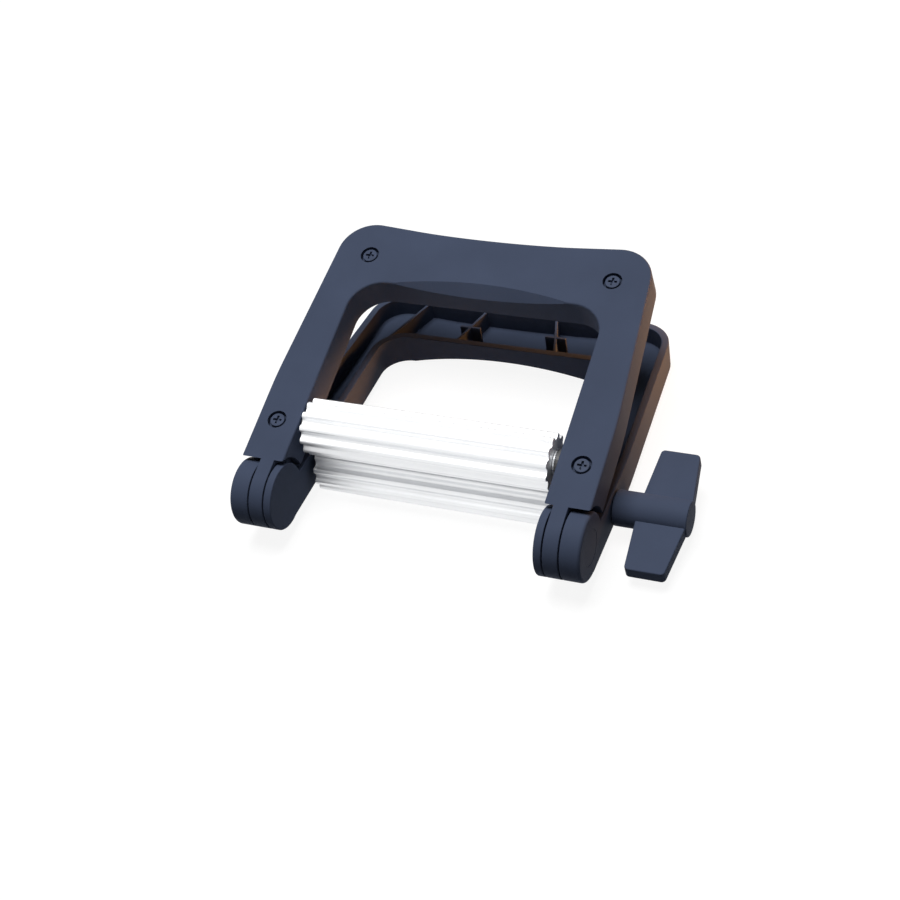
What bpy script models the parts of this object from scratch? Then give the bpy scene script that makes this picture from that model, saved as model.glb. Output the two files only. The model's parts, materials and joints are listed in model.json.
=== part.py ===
"""Tube squeezer: two hinged arms, each with a fluted roller, and a wing key on the lower one.

Each arm is drawn in its own frame, with the hinge axis along x through the origin, y running
from the hinge to the crossbar and the arm's outer face at ARM_FACE from the axis, upwards on
the upper arm (side 1) and downwards on the lower arm (side -1).
"""
import math

import bmesh
import bpy
from mathutils import Matrix, Vector

# Arms
ARM_FACE = 0.01026
LEG_LEAN = 0.0038
TAPER_START_Y = 0.036
TAPER_RADIUS = 0.150
OUTER_CORNER_RADIUS = 0.0112
INNER_CORNER_RADIUS = 0.0085
UPPER_INNER_Y = 0.0744
LOWER_INNER_Y = 0.0802
CROSSBAR_DEPTH = 0.0226
CROSSBAR_DIP = 0.0044
DIP_RADIUS = 0.330
RIM_AT_HINGE = 0.0013
RIM_SLOPE = math.radians(0.9)
WALL = 0.0024
FACE_WALL = 0.0022
LEG_END_WALL = 0.0030
EDGE_ROUND = 0.0006

# Finger scoop on each crossbar
SCOOP_END_GAP = 0.0112
SCOOP_DEPTH = 0.0024

# Knuckles
EAR_SINK = 0.00056
EAR_ROUND = 0.0016
SHOULDER_GAP = 0.0023
LOWER_LEG_GAP = 0.00224
TONGUE_INSET = 0.0028
TONGUE_WIDTH = 0.0045
KNUCKLE_GAP = 0.0003
KNUCKLE_INSET = 0.0003
PIN_RADIUS = 0.0020
PIN_HEAD_RADIUS = 0.0054
PIN_HEAD_THICKNESS = 0.0014
PIN_HEAD_SINK = 0.0002
PIN_GAP = 0.0002
PIN_END_WALL = 0.0008

# Rollers
ROLLER_Y = 0.02233
ROLLER_HEIGHT = 0.0053
ROLLER_RADIUS = 0.00865
ROLLER_HALF_LENGTH = 0.0392
ROLLER_MESH_DEPTH = 0.0004
FLUTE_COUNT = 12
FLUTE_DEPTH = 0.0014
FLUTE_SHARES = (
    (-0.50, 1.00), (-0.34, 0.84), (-0.21, 0.32), (-0.13, 0.0),
    (0.13, 0.0), (0.21, 0.32), (0.34, 0.84),
)

# Axles, bushes and washers
JOURNAL_RADIUS = 0.0018
JOURNAL_GAP = 0.0001
BUSH_RADIUS = 0.0025
SEAT_GAP = 0.0002
FLANGE_RADIUS = 0.0040
FLANGE_THICKNESS = 0.0010
WASHER_THICKNESS = 0.0005
SIDE_GAP = 0.00015
BUSH_INSIDE_REACH = 0.0003
AXLE_END_REACH = 0.0009
HEX_RADIUS = 0.0032
HEX_END_INSET = 0.0030
HEX_GAP = 0.0002
RING_RADIUS = 0.0026
RING_THICKNESS = 0.0006
SHAFT_END_REACH = 0.0006

# Wing key
KEY_WASHER_THICKNESS = 0.0006
KEY_WASHER_RADIUS = 0.0046
HUB_RADIUS = 0.0054
HUB_END_ROUND = 0.0004
KEY_LENGTH = 0.0212
BLADE_SPAN = 0.0428
BLADE_THICKNESS = 0.0042
BLADE_ROOT_WIDTH = 0.0147
BLADE_TIP_WIDTH = 0.0117
BLADE_TIP_SETBACK = 0.0019
BLADE_ROUND = 0.0005
BLADE_TILT = math.radians(10.8)
KEY_BORE_DEPTH = 0.0150
FLAT_DEPTH = 0.0005

# Inner cover of the upper arm and its screws
COVER_THICKNESS = 0.0016
COVER_SINK = 0.0002
COVER_GAP = 0.0003
SCREW_CORNER_INSET = 0.0109
SCREW_BAR_INSET = 0.0099
SCREW_AXLE_GAP = 0.0003
SCREW_ROLLER_OFFSET = 0.00213
SHELL_BOSS_RADIUS = 0.0034
BOSS_WALL_GAP = 0.0007
COVER_POST_RADIUS = 0.0030
BOSS_END_HEIGHT = 0.0052
HEAD_RADIUS = 0.0023
HEAD_THICKNESS = 0.0013
HEAD_CHAMFER = 0.0002
HEAD_SINK = 0.0002
RECESS_RADIUS = 0.0029
SHANK_RADIUS = 0.0011
SHANK_GAP = 0.0002
SCREW_END_HEIGHT = 0.00086
SLOT_HALF_LENGTH = 0.0014
SLOT_HALF_WIDTH = 0.0003
SLOT_DEPTH = 0.0006

# Ribs inside the lower crossbar
RIB_THICKNESS = 0.0009
RIB_OUTER_X = 0.0125
RIB_INNER_X = 0.0172
RIB_CROSS_HALF_LENGTH = 0.0035
CORNER_RIB_OUTER_INSET = 0.0082
CORNER_RIB_INNER_INSET = 0.0006
CORNER_RIB_OVERLAP_Y = 0.0048

# Drawing
OVERRUN = 0.004
WELD = 0.00001
SHARP_ANGLE = math.radians(50)
ARC_STEP = math.radians(12)
LEAST_ARC_STEPS = 4
ROUND_SIDES = 24
KNUCKLE_STEPS = 30
SCOOP_STEPS = 16

ALONG_X = Matrix(((0, 0, 1, 0), (1, 0, 0, 0), (0, 1, 0, 0), (0, 0, 0, 1)))

WASHER_INNER_X = ROLLER_HALF_LENGTH + SIDE_GAP
WASHER_OUTER_X = WASHER_INNER_X + WASHER_THICKNESS
FLANGE_INNER_X = WASHER_OUTER_X + SIDE_GAP
LEG_INNER_X = FLANGE_INNER_X + FLANGE_THICKNESS + SEAT_GAP
LEG_INSIDE_X = LEG_INNER_X + WALL
BUSH_END_X = LEG_INSIDE_X + BUSH_INSIDE_REACH
AXLE_END_X = BUSH_END_X + AXLE_END_REACH
LEG_SCREW_X = AXLE_END_X + SCREW_AXLE_GAP + SHELL_BOSS_RADIUS
LEG_OUTSIDE_X = LEG_SCREW_X + SHELL_BOSS_RADIUS + BOSS_WALL_GAP
LEG_OUTER_X = LEG_OUTSIDE_X + WALL
CORNER_X = LEG_OUTER_X - LEG_LEAN
SCOOP_HALF_WIDTH = LEG_INNER_X - SCOOP_END_GAP
EAR_RADIUS = ARM_FACE - EAR_SINK
SHOULDER_RADIUS = EAR_RADIUS + SHOULDER_GAP
LOWER_LEG_START_Y = ARM_FACE + LOWER_LEG_GAP
TONGUE_INNER_X = LEG_INNER_X + TONGUE_INSET
TONGUE_OUTER_X = TONGUE_INNER_X + TONGUE_WIDTH
SCREW_LENGTH = ARM_FACE - HEAD_SINK - SCREW_END_HEIGHT
HUB_INNER_X = LEG_OUTER_X + KEY_WASHER_THICKNESS + 2 * SEAT_GAP
KEY_OUTER_X = HUB_INNER_X + KEY_LENGTH
EAR_OUTER_X = LEG_OUTER_X - KNUCKLE_INSET
EAR_INNER_X = LEG_INNER_X + KNUCKLE_INSET


def clear_scene():
    for item in list(bpy.data.objects):
        bpy.data.objects.remove(item, do_unlink=True)


def collection(name):
    group = bpy.data.collections.new(name)
    bpy.context.scene.collection.children.link(group)
    return group


def material(name, colour, roughness, metallic):
    finish = bpy.data.materials.new(name)
    finish.use_nodes = True
    shader = finish.node_tree.nodes["Principled BSDF"]
    shader.inputs["Base Color"].default_value = (*colour, 1)
    shader.inputs["Roughness"].default_value = roughness
    shader.inputs["Metallic"].default_value = metallic
    return finish


def plastic(name):
    return material(name, (0.058, 0.066, 0.098), 0.42, 0.0)


def aluminium(name):
    return material(name, (0.88, 0.89, 0.91), 0.28, 1.0)


def steel(name):
    return material(name, (0.52, 0.53, 0.55), 0.3, 1.0)


def blackened_steel(name):
    return material(name, (0.045, 0.05, 0.065), 0.38, 0.8)


def bearing_plastic(name):
    return material(name, (0.72, 0.71, 0.67), 0.5, 0.0)


def rounded(corners):
    """Points of a closed outline whose corners, given as (x, y, radius), are filleted."""
    points = []
    for index, (x, y, radius) in enumerate(corners):
        here = Vector((x, y))
        if radius == 0:
            points.append(here)
            continue
        before = (Vector(corners[index - 1][:2]) - here).normalized()
        after = (Vector(corners[(index + 1) % len(corners)][:2]) - here).normalized()
        half = before.angle(after) / 2
        centre = here + (before + after).normalized() * radius / math.sin(half)
        spoke = here + before * radius / math.tan(half) - centre
        other = here + after * radius / math.tan(half) - centre
        turn = spoke.angle_signed(other)
        steps = max(LEAST_ARC_STEPS, math.ceil(abs(turn) / ARC_STEP))
        for step in range(steps + 1):
            angle = -turn * step / steps
            points.append(centre + Matrix.Rotation(angle, 2) @ spoke)
    return points


def arc(radius, start, end, steps):
    """Points of an arc about the origin, from one angle to another."""
    angles = [start + (end - start) * step / steps for step in range(steps + 1)]
    return [Vector((radius * math.cos(angle), radius * math.sin(angle))) for angle in angles]


def welded_mesh(name, source):
    """The evaluated mesh of an object, with its loose caps welded on and its faces outwards."""
    graph = bpy.context.evaluated_depsgraph_get()
    mesh = bpy.data.meshes.new_from_object(source.evaluated_get(graph))
    mesh.name = name
    shape = bmesh.new()
    shape.from_mesh(mesh)
    bmesh.ops.remove_doubles(shape, verts=shape.verts, dist=WELD)
    bmesh.ops.recalc_face_normals(shape, faces=shape.faces)
    shape.to_mesh(mesh)
    shape.free()
    return mesh


def prism(name, loop, low, high):
    """A solid of a flat outline between two heights."""
    curve = bpy.data.curves.new(name, "CURVE")
    curve.dimensions = "2D"
    curve.fill_mode = "BOTH"
    curve.extrude = (high - low) / 2
    spline = curve.splines.new("POLY")
    spline.points.add(len(loop) - 1)
    for point, (x, y) in zip(spline.points, loop):
        point.co = (x, y, 0, 1)
    spline.use_cyclic_u = True
    drawn = bpy.data.objects.new(name, curve)
    bpy.context.scene.collection.objects.link(drawn)
    bpy.context.view_layer.update()
    mesh = welded_mesh(name, drawn)
    bpy.data.objects.remove(drawn, do_unlink=True)
    mesh.transform(Matrix.Translation((0, 0, (high + low) / 2)))
    return bpy.data.objects.new(name, mesh)


def prism_along_x(name, loop, low, high):
    """A solid of an outline drawn in y and z, between two x places."""
    solid = prism(name, loop, low, high)
    solid.data.transform(ALONG_X)
    return solid


def box(name, low, high):
    size = Vector(high) - Vector(low)
    centre = (Vector(high) + Vector(low)) / 2
    shape = bmesh.new()
    bmesh.ops.create_cube(shape, size=1, matrix=Matrix.Translation(centre) @ Matrix.Diagonal((*size, 1)))
    mesh = bpy.data.meshes.new(name)
    shape.to_mesh(mesh)
    shape.free()
    return bpy.data.objects.new(name, mesh)


def rod(name, radius, low, high, sides=ROUND_SIDES):
    """A cylinder along z between two heights."""
    shape = bmesh.new()
    bmesh.ops.create_cone(shape, cap_ends=True, segments=sides, radius1=radius, radius2=radius,
                          depth=high - low, matrix=Matrix.Translation((0, 0, (high + low) / 2)))
    mesh = bpy.data.meshes.new(name)
    shape.to_mesh(mesh)
    shape.free()
    return bpy.data.objects.new(name, mesh)


def rod_along_x(name, radius, low, high, y=0.0, z=0.0, sides=ROUND_SIDES):
    """A cylinder along x between two x places."""
    solid = rod(name, radius, low, high, sides)
    solid.data.transform(Matrix.Translation((0, y, z)) @ ALONG_X)
    return solid


def turned(name, profile, closed):
    """A solid turned about z from (radius, height) points that run down its outer side."""
    mesh = bpy.data.meshes.new(name)
    corners = [(radius, 0, height) for radius, height in profile]
    edges = [(index, index + 1) for index in range(len(corners) - 1)]
    if closed:
        edges.append((len(corners) - 1, 0))
    mesh.from_pydata(corners, edges, [])
    solid = bpy.data.objects.new(name, mesh)
    screw = solid.modifiers.new("turn", "SCREW")
    screw.steps = ROUND_SIDES
    screw.render_steps = ROUND_SIDES
    screw.use_merge_vertices = True
    screw.merge_threshold = WELD
    return solid


def ring_along_x(name, outer, inner, low, high):
    """A flat ring about x between two x places."""
    solid = turned(name, [(outer, high), (outer, low), (inner, low), (inner, high)], True)
    solid.rotation_euler = (0, math.pi / 2, 0)
    return solid


def add_step(solid, tool, operation, cutters):
    """Cuts a hidden tool solid out of a part, or joins it on."""
    if tool.name not in cutters.objects:
        cutters.objects.link(tool)
    tool.hide_render = True
    tool.display_type = "WIRE"
    step = solid.modifiers.new(tool.name, "BOOLEAN")
    step.operation = operation
    step.solver = "EXACT"
    step.object = tool


def round_edges(solid, width, segments):
    """Rounds the sharp edges of an extruded outline."""
    bevel = solid.modifiers.new("edge round", "BEVEL")
    bevel.limit_method = "ANGLE"
    bevel.angle_limit = SHARP_ANGLE
    bevel.width = width
    bevel.segments = segments


def round_outer_edges(solid, width, chosen):
    """Rounds only the sharp edges whose two ends pass the test."""
    shape = bmesh.new()
    shape.from_mesh(solid.data)
    weights = shape.edges.layers.float.new("bevel_weight_edge")
    for edge in shape.edges:
        sharp = edge.calc_face_angle(0) > SHARP_ANGLE
        edge[weights] = 1 if sharp and all(chosen(vertex.co) for vertex in edge.verts) else 0
    shape.to_mesh(solid.data)
    shape.free()
    bevel = solid.modifiers.new("outer edge round", "BEVEL")
    bevel.limit_method = "WEIGHT"
    bevel.width = width
    bevel.segments = 3


def arm_outline(inner_y, leg_end_y, inset):
    """The U outline of an arm seen from its outer face, drawn in by an inset."""
    corner_y = inner_y + CROSSBAR_DEPTH
    outer = [
        (LEG_OUTER_X - inset, leg_end_y, 0),
        (LEG_OUTER_X - inset, TAPER_START_Y, TAPER_RADIUS),
        (CORNER_X - inset, corner_y - inset, OUTER_CORNER_RADIUS - inset),
        (0, corner_y - CROSSBAR_DIP - inset, DIP_RADIUS),
        (inset - CORNER_X, corner_y - inset, OUTER_CORNER_RADIUS - inset),
        (inset - LEG_OUTER_X, TAPER_START_Y, TAPER_RADIUS),
        (inset - LEG_OUTER_X, leg_end_y, 0),
    ]
    inner = [
        (-LEG_INNER_X - inset, leg_end_y, 0),
        (-LEG_INNER_X - inset, inner_y + inset, INNER_CORNER_RADIUS + inset),
        (LEG_INNER_X + inset, inner_y + inset, INNER_CORNER_RADIUS + inset),
        (LEG_INNER_X + inset, leg_end_y, 0),
    ]
    return rounded(outer + inner)


def rim_height(y):
    """Distance of the rim plane from the hinge axis, measured like ARM_FACE."""
    return math.tan(RIM_SLOPE) * y - RIM_AT_HINGE


def rim_block(name, side, lift, towards_face):
    """A block whose sloped face lies a little outside the rim plane."""
    near_y = -SHOULDER_RADIUS - OVERRUN
    far_y = LOWER_INNER_Y + CROSSBAR_DEPTH + OVERRUN
    end = (ARM_FACE + OVERRUN) * (1 if towards_face else -1)
    loop = [
        (near_y, side * end),
        (far_y, side * end),
        (far_y, side * (rim_height(far_y) + lift)),
        (near_y, side * (rim_height(near_y) + lift)),
    ]
    return prism_along_x(name, loop, -LEG_OUTER_X - OVERRUN, LEG_OUTER_X + OVERRUN)


def arm_body(name, side, inner_y, leg_end_y, cavity_y, cutters):
    """An arm's tray: the outline with rounded edges, hollowed from the rim."""
    low, high = sorted((side * -ARM_FACE, side * ARM_FACE))
    body = prism(name, arm_outline(inner_y, leg_end_y, 0), low, high)
    round_edges(body, EDGE_ROUND, 2)
    add_step(body, rim_block(name + "_rim_cut", side, 0, False), "DIFFERENCE", cutters)
    low, high = sorted((side * -(ARM_FACE + OVERRUN), side * (ARM_FACE - FACE_WALL)))
    cavity = prism(name + "_cavity", arm_outline(inner_y, cavity_y, WALL), low, high)
    add_step(body, cavity, "DIFFERENCE", cutters)
    return body


def scoop(name, side, inner_y):
    """A long shallow cutter across the crossbar's inner edge, at 45 degrees."""
    reach = SCOOP_HALF_WIDTH + OVERRUN
    loop = []
    for step in range(SCOOP_STEPS + 1):
        x = -reach + 2 * reach * step / SCOOP_STEPS
        loop.append(Vector((x, SCOOP_DEPTH * (1 - (x / SCOOP_HALF_WIDTH) ** 2))))
    loop += [Vector((reach, -2 * OVERRUN)), Vector((-reach, -2 * OVERRUN))]
    solid = prism(name, loop, -2 * OVERRUN, 2 * OVERRUN)
    inwards = Vector((0, 1, -side)).normalized()
    along = Vector((1, 0, 0)).cross(inwards)
    turn = Matrix(((1, 0, 0), inwards, along)).transposed().to_4x4()
    solid.data.transform(Matrix.Translation((0, inner_y, side * ARM_FACE)) @ turn)
    return solid


def sides_of(inner_x, outer_x, hand):
    return sorted((hand * inner_x, hand * outer_x))


def ear(name, inner_x, outer_x, hand):
    """A round hinge ear of the lower arm with the web that ties it to the leg."""
    end_y = LOWER_LEG_START_Y + LEG_END_WALL / 2
    foot = Vector((end_y, EDGE_ROUND - ARM_FACE))
    start = math.asin(RIM_AT_HINGE / EAR_RADIUS)
    tangent = math.atan2(foot.y, foot.x) - math.acos(EAR_RADIUS / foot.length)
    loop = arc(EAR_RADIUS, start, tangent + 2 * math.pi, KNUCKLE_STEPS)
    loop += [foot, Vector((end_y, -rim_height(end_y) - KNUCKLE_INSET))]
    low, high = sides_of(inner_x, outer_x, hand)
    return prism_along_x(name, loop, low, high)


def outer_ear(name, hand):
    """The outer ear, with its outer face's round edge."""
    solid = ear(name, TONGUE_OUTER_X + KNUCKLE_GAP, EAR_OUTER_X, hand)
    limit = EAR_OUTER_X - WELD

    def on_round(place):
        past_rim = place.z > RIM_AT_HINGE + WELD or place.z < 0
        return abs(place.x) > limit and place.y < LOWER_LEG_START_Y and past_rim

    round_outer_edges(solid, EAR_ROUND, on_round)
    return solid


def tongue(name, hand):
    """The hinge tongue of the upper arm, flush with its outer face."""
    end_y = SHOULDER_RADIUS + LEG_END_WALL / 2
    end = 2 * math.pi - math.asin(RIM_AT_HINGE / ARM_FACE)
    loop = arc(ARM_FACE, math.pi / 2, end, KNUCKLE_STEPS)
    loop += [Vector((end_y, rim_height(end_y) + KNUCKLE_INSET)), Vector((end_y, ARM_FACE))]
    low, high = sides_of(TONGUE_INNER_X, TONGUE_OUTER_X, hand)
    return prism_along_x(name, loop, low, high)


def rib(name, start, end):
    """A thin wall on the lower tray's floor between two places, up to the rim."""
    along = Vector(end) - Vector(start)
    across = Vector((-along.y, along.x)).normalized() * RIB_THICKNESS / 2
    low = -ARM_FACE + FACE_WALL / 2
    high = -rim_height(LOWER_INNER_Y + CROSSBAR_DEPTH)
    loop = [Vector(start) + across, Vector(end) + across, Vector(end) - across, Vector(start) - across]
    return prism(name, loop, low, high)


def crossbar_ribs():
    """The ribs of the lower crossbar: two crossed pairs and one rib in each corner."""
    inner_y = LOWER_INNER_Y + WALL / 2
    outer_y = LOWER_INNER_Y + CROSSBAR_DEPTH - CROSSBAR_DIP - WALL / 2
    walls = []
    for hand, word in ((-1, "left"), (1, "right")):
        outer = Vector((hand * RIB_OUTER_X, outer_y))
        inner = Vector((hand * RIB_INNER_X, inner_y))
        walls.append(rib("rib_" + word, outer, inner))
        middle = (outer + inner) / 2
        half = Vector((RIB_CROSS_HALF_LENGTH, 0))
        walls.append(rib("rib_cross_" + word, middle - half, middle + half))
        outer_x = LEG_INNER_X - CORNER_RIB_OUTER_INSET
        inner_x = LEG_INNER_X - CORNER_RIB_INNER_INSET
        corner_outer = Vector((hand * outer_x, outer_y + CROSSBAR_DIP / 2))
        corner_inner = Vector((hand * inner_x, inner_y + CORNER_RIB_OVERLAP_Y))
        walls.append(rib("corner_rib_" + word, corner_outer, corner_inner))
    return walls


def pin_bore(name, hand, cutters, solid):
    """The hole of a hinge pin, with the seat of its head in the outer ear."""
    seat_x = EAR_OUTER_X - PIN_HEAD_SINK - PIN_HEAD_THICKNESS - PIN_GAP
    low, high = sides_of(EAR_INNER_X + PIN_END_WALL, seat_x + PIN_GAP, hand)
    hole = rod_along_x(name, PIN_RADIUS + PIN_GAP, low, high)
    add_step(solid, hole, "DIFFERENCE", cutters)
    low, high = sides_of(seat_x, LEG_OUTER_X + OVERRUN, hand)
    seat = rod_along_x(name + "_seat", PIN_HEAD_RADIUS + PIN_GAP, low, high, sides=2 * ROUND_SIDES)
    add_step(solid, seat, "DIFFERENCE", cutters)


def make_lower_arm(cutters):
    cavity_y = LOWER_LEG_START_Y + LEG_END_WALL
    body = arm_body("lower_arm", -1, LOWER_INNER_Y, LOWER_LEG_START_Y, cavity_y, cutters)
    for wall in crossbar_ribs():
        add_step(body, wall, "UNION", cutters)
    for hand, word in ((-1, "left"), (1, "right")):
        inner = ear("inner_ear_" + word, EAR_INNER_X, TONGUE_INNER_X - KNUCKLE_GAP, hand)
        add_step(body, inner, "UNION", cutters)
        add_step(body, outer_ear("outer_ear_" + word, hand), "UNION", cutters)
        pin_bore("pin_bore_" + word, hand, cutters, body)
    for low, high, word in (
        (-LEG_INSIDE_X - WALL, -LEG_INNER_X + OVERRUN, "left"),
        (LEG_INNER_X - OVERRUN, LEG_OUTER_X + OVERRUN, "right"),
    ):
        bore = rod_along_x("lower_bush_bore_" + word, BUSH_RADIUS + SEAT_GAP, low, high,
                           ROLLER_Y, -ROLLER_HEIGHT)
        add_step(body, bore, "DIFFERENCE", cutters)
    add_step(body, scoop("lower_scoop", -1, LOWER_INNER_Y), "DIFFERENCE", cutters)
    body.data.materials.append(plastic("lower arm plastic"))
    return body


def make_upper_shell(cutters):
    cavity_y = SHOULDER_RADIUS + LEG_END_WALL
    body = arm_body("upper_arm_shell", 1, UPPER_INNER_Y, 0, cavity_y, cutters)
    reach = LEG_OUTER_X + OVERRUN
    relief = rod_along_x("shoulder_relief", SHOULDER_RADIUS, -reach, reach, sides=2 * ROUND_SIDES)
    add_step(body, relief, "DIFFERENCE", cutters)
    for hand, word in ((-1, "left"), (1, "right")):
        add_step(body, tongue("tongue_" + word, hand), "UNION", cutters)
        low, high = sides_of(LEG_INNER_X, LEG_OUTER_X, hand)
        hole = rod_along_x("tongue_bore_" + word, PIN_RADIUS + PIN_GAP, low, high)
        add_step(body, hole, "DIFFERENCE", cutters)
        low, high = sides_of(LEG_INNER_X - OVERRUN, LEG_INSIDE_X + WALL / 2, hand)
        seat = rod_along_x("upper_bush_bore_" + word, BUSH_RADIUS + SEAT_GAP, low, high,
                           ROLLER_Y, ROLLER_HEIGHT)
        add_step(body, seat, "DIFFERENCE", cutters)
        half = BUSH_RADIUS + SEAT_GAP
        slot = box("upper_bush_slot_" + word, (low, ROLLER_Y - half, -ARM_FACE),
                   (high, ROLLER_Y + half, ROLLER_HEIGHT))
        add_step(body, slot, "DIFFERENCE", cutters)
    for number, (x, y) in enumerate(screw_places(), 1):
        boss = rod("shell_boss_%d" % number, SHELL_BOSS_RADIUS, BOSS_END_HEIGHT, ARM_FACE - FACE_WALL / 2)
        boss.location = (x, y, 0)
        add_step(body, boss, "UNION", cutters)
        recess_floor = ARM_FACE - HEAD_SINK - HEAD_THICKNESS - SEAT_GAP
        recess = rod("screw_recess_%d" % number, RECESS_RADIUS, recess_floor, ARM_FACE + OVERRUN)
        recess.location = (x, y, 0)
        add_step(body, recess, "DIFFERENCE", cutters)
        hole = rod("screw_hole_%d" % number, SHANK_RADIUS + SHANK_GAP, 0, ARM_FACE)
        hole.location = (x, y, 0)
        add_step(body, hole, "DIFFERENCE", cutters)
    add_step(body, scoop("upper_scoop", 1, UPPER_INNER_Y), "DIFFERENCE", cutters)
    body.data.materials.append(plastic("upper arm plastic"))
    return body


def screw_places():
    """The four screws' places, the pair at the crossbar first."""
    places = (
        (CORNER_X - SCREW_CORNER_INSET, UPPER_INNER_Y + SCREW_BAR_INSET),
        (LEG_SCREW_X, ROLLER_Y - SCREW_ROLLER_OFFSET),
    )
    return [(hand * x, y) for x, y in places for hand in (-1, 1)]


def make_cover(cutters):
    """The inner cover, which closes the upper tray and holds the bushes in their slots."""
    end_y = SHOULDER_RADIUS + LEG_END_WALL + COVER_GAP
    outline = arm_outline(UPPER_INNER_Y, end_y, WALL + COVER_GAP)
    cover = prism("upper_arm_cover", outline, -ARM_FACE, ARM_FACE)
    add_step(cover, rim_block("cover_low_cut", 1, COVER_SINK, False), "DIFFERENCE", cutters)
    top = rim_block("cover_high_cut", 1, COVER_SINK + COVER_THICKNESS, True)
    add_step(cover, top, "DIFFERENCE", cutters)
    for hand, word in ((-1, "left"), (1, "right")):
        low, high = sides_of(LEG_INNER_X + SEAT_GAP, LEG_INSIDE_X + WALL, hand)
        base = rim_height(ROLLER_Y) + COVER_SINK + COVER_THICKNESS / 4
        saddle = box("bush_saddle_" + word, (low, ROLLER_Y - BUSH_RADIUS, base),
                     (high, ROLLER_Y + BUSH_RADIUS, ROLLER_HEIGHT - BUSH_RADIUS - SEAT_GAP))
        add_step(cover, saddle, "UNION", cutters)
    for number, (x, y) in enumerate(screw_places(), 1):
        base = rim_height(y) + COVER_SINK + COVER_THICKNESS / 2
        post = rod("cover_post_%d" % number, COVER_POST_RADIUS, base, BOSS_END_HEIGHT - SEAT_GAP)
        post.location = (x, y, 0)
        add_step(cover, post, "UNION", cutters)
        bottom = ARM_FACE - HEAD_SINK - SCREW_LENGTH - SHANK_GAP
        hole = rod("cover_pilot_%d" % number, SHANK_RADIUS + SHANK_GAP, bottom, ARM_FACE)
        hole.location = (x, y, 0)
        add_step(cover, hole, "DIFFERENCE", cutters)
    cover.data.materials.append(plastic("cover plastic"))
    return cover


def cross_outline():
    """The outline of a cross slot."""
    quarter = [
        Vector((SLOT_HALF_WIDTH, SLOT_HALF_LENGTH)),
        Vector((-SLOT_HALF_WIDTH, SLOT_HALF_LENGTH)),
        Vector((-SLOT_HALF_WIDTH, SLOT_HALF_WIDTH)),
    ]
    return [Matrix.Rotation(turn * math.pi / 2, 2) @ point for turn in range(4) for point in quarter]


def make_screws(cutters):
    """The four cover screws, with flat heads just below the outer face."""
    profile = [
        (0, 0),
        (HEAD_RADIUS - HEAD_CHAMFER, 0),
        (HEAD_RADIUS, -HEAD_CHAMFER),
        (HEAD_RADIUS, -HEAD_THICKNESS),
        (SHANK_RADIUS, -HEAD_THICKNESS),
        (SHANK_RADIUS, -SCREW_LENGTH),
        (0, -SCREW_LENGTH),
    ]
    cross = prism("cross_slot", cross_outline(), -SLOT_DEPTH, OVERRUN)
    screws = []
    for number, (x, y) in enumerate(screw_places(), 1):
        screw = turned("cover_screw_%d" % number, profile, False)
        screw.location = (x, y, ARM_FACE - HEAD_SINK)
        slot = bpy.data.objects.new("cross_slot_%d" % number, cross.data)
        slot.parent = screw
        add_step(screw, slot, "DIFFERENCE", cutters)
        screw.data.materials.append(blackened_steel("screw %d steel" % number))
        screws.append(screw)
    bpy.data.objects.remove(cross, do_unlink=True)
    return screws


def fluted_outline(phase):
    """The roller's section in y and z, with a tooth's tip at the phase angle."""
    pitch = 2 * math.pi / FLUTE_COUNT
    points = []
    for tooth in range(FLUTE_COUNT):
        for angle_share, depth_share in FLUTE_SHARES:
            radius = ROLLER_RADIUS - FLUTE_DEPTH * depth_share
            angle = phase + pitch * (tooth + angle_share)
            points.append(Vector((radius * math.cos(angle), radius * math.sin(angle))))
    return points


def make_roller(name, phase, cutters):
    """A fluted roller about x, with a six-sided bore for its axle."""
    roller = prism_along_x(name, fluted_outline(phase), -ROLLER_HALF_LENGTH, ROLLER_HALF_LENGTH)
    reach = ROLLER_HALF_LENGTH + OVERRUN
    middle = rod_along_x(name + "_hex_bore", HEX_RADIUS + HEX_GAP, -reach, reach, sides=6)
    add_step(roller, middle, "DIFFERENCE", cutters)
    roller.data.materials.append(aluminium(name + " aluminium"))
    return roller


def make_axle(name, low, high, cutters):
    """A round axle about x with a six-sided middle that turns the roller."""
    axle = rod_along_x(name, JOURNAL_RADIUS, low, high)
    reach = ROLLER_HALF_LENGTH - HEX_END_INSET
    hexagon = rod_along_x(name + "_hex", HEX_RADIUS, -reach, reach, sides=6)
    add_step(axle, hexagon, "UNION", cutters)
    axle.data.materials.append(steel(name + " steel"))
    return axle


def make_bush(name, hand):
    """A flanged bush in the inner wall of a leg, with its flange towards the roller."""
    inner = JOURNAL_RADIUS + JOURNAL_GAP
    profile = [
        (BUSH_RADIUS, -FLANGE_INNER_X - FLANGE_THICKNESS),
        (BUSH_RADIUS, -BUSH_END_X),
        (inner, -BUSH_END_X),
        (inner, -FLANGE_INNER_X),
        (FLANGE_RADIUS, -FLANGE_INNER_X),
        (FLANGE_RADIUS, -FLANGE_INNER_X - FLANGE_THICKNESS),
    ]
    bush = turned(name, profile, True)
    bush.rotation_euler = (0, -hand * math.pi / 2, 0)
    bush.data.materials.append(bearing_plastic(name + " acetal"))
    return bush


def make_washer(name, hand):
    low, high = sides_of(WASHER_INNER_X, WASHER_OUTER_X, hand)
    washer = ring_along_x(name, FLANGE_RADIUS, JOURNAL_RADIUS + JOURNAL_GAP, low, high)
    washer.data.materials.append(steel(name + " steel"))
    return washer


def make_outer_bush():
    """The plain bush in the right leg's outer wall."""
    inner = JOURNAL_RADIUS + JOURNAL_GAP
    bush = ring_along_x("outer_bush", BUSH_RADIUS, inner, LEG_OUTSIDE_X - SEAT_GAP, LEG_OUTER_X)
    bush.data.materials.append(bearing_plastic("outer bush acetal"))
    return bush


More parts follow.
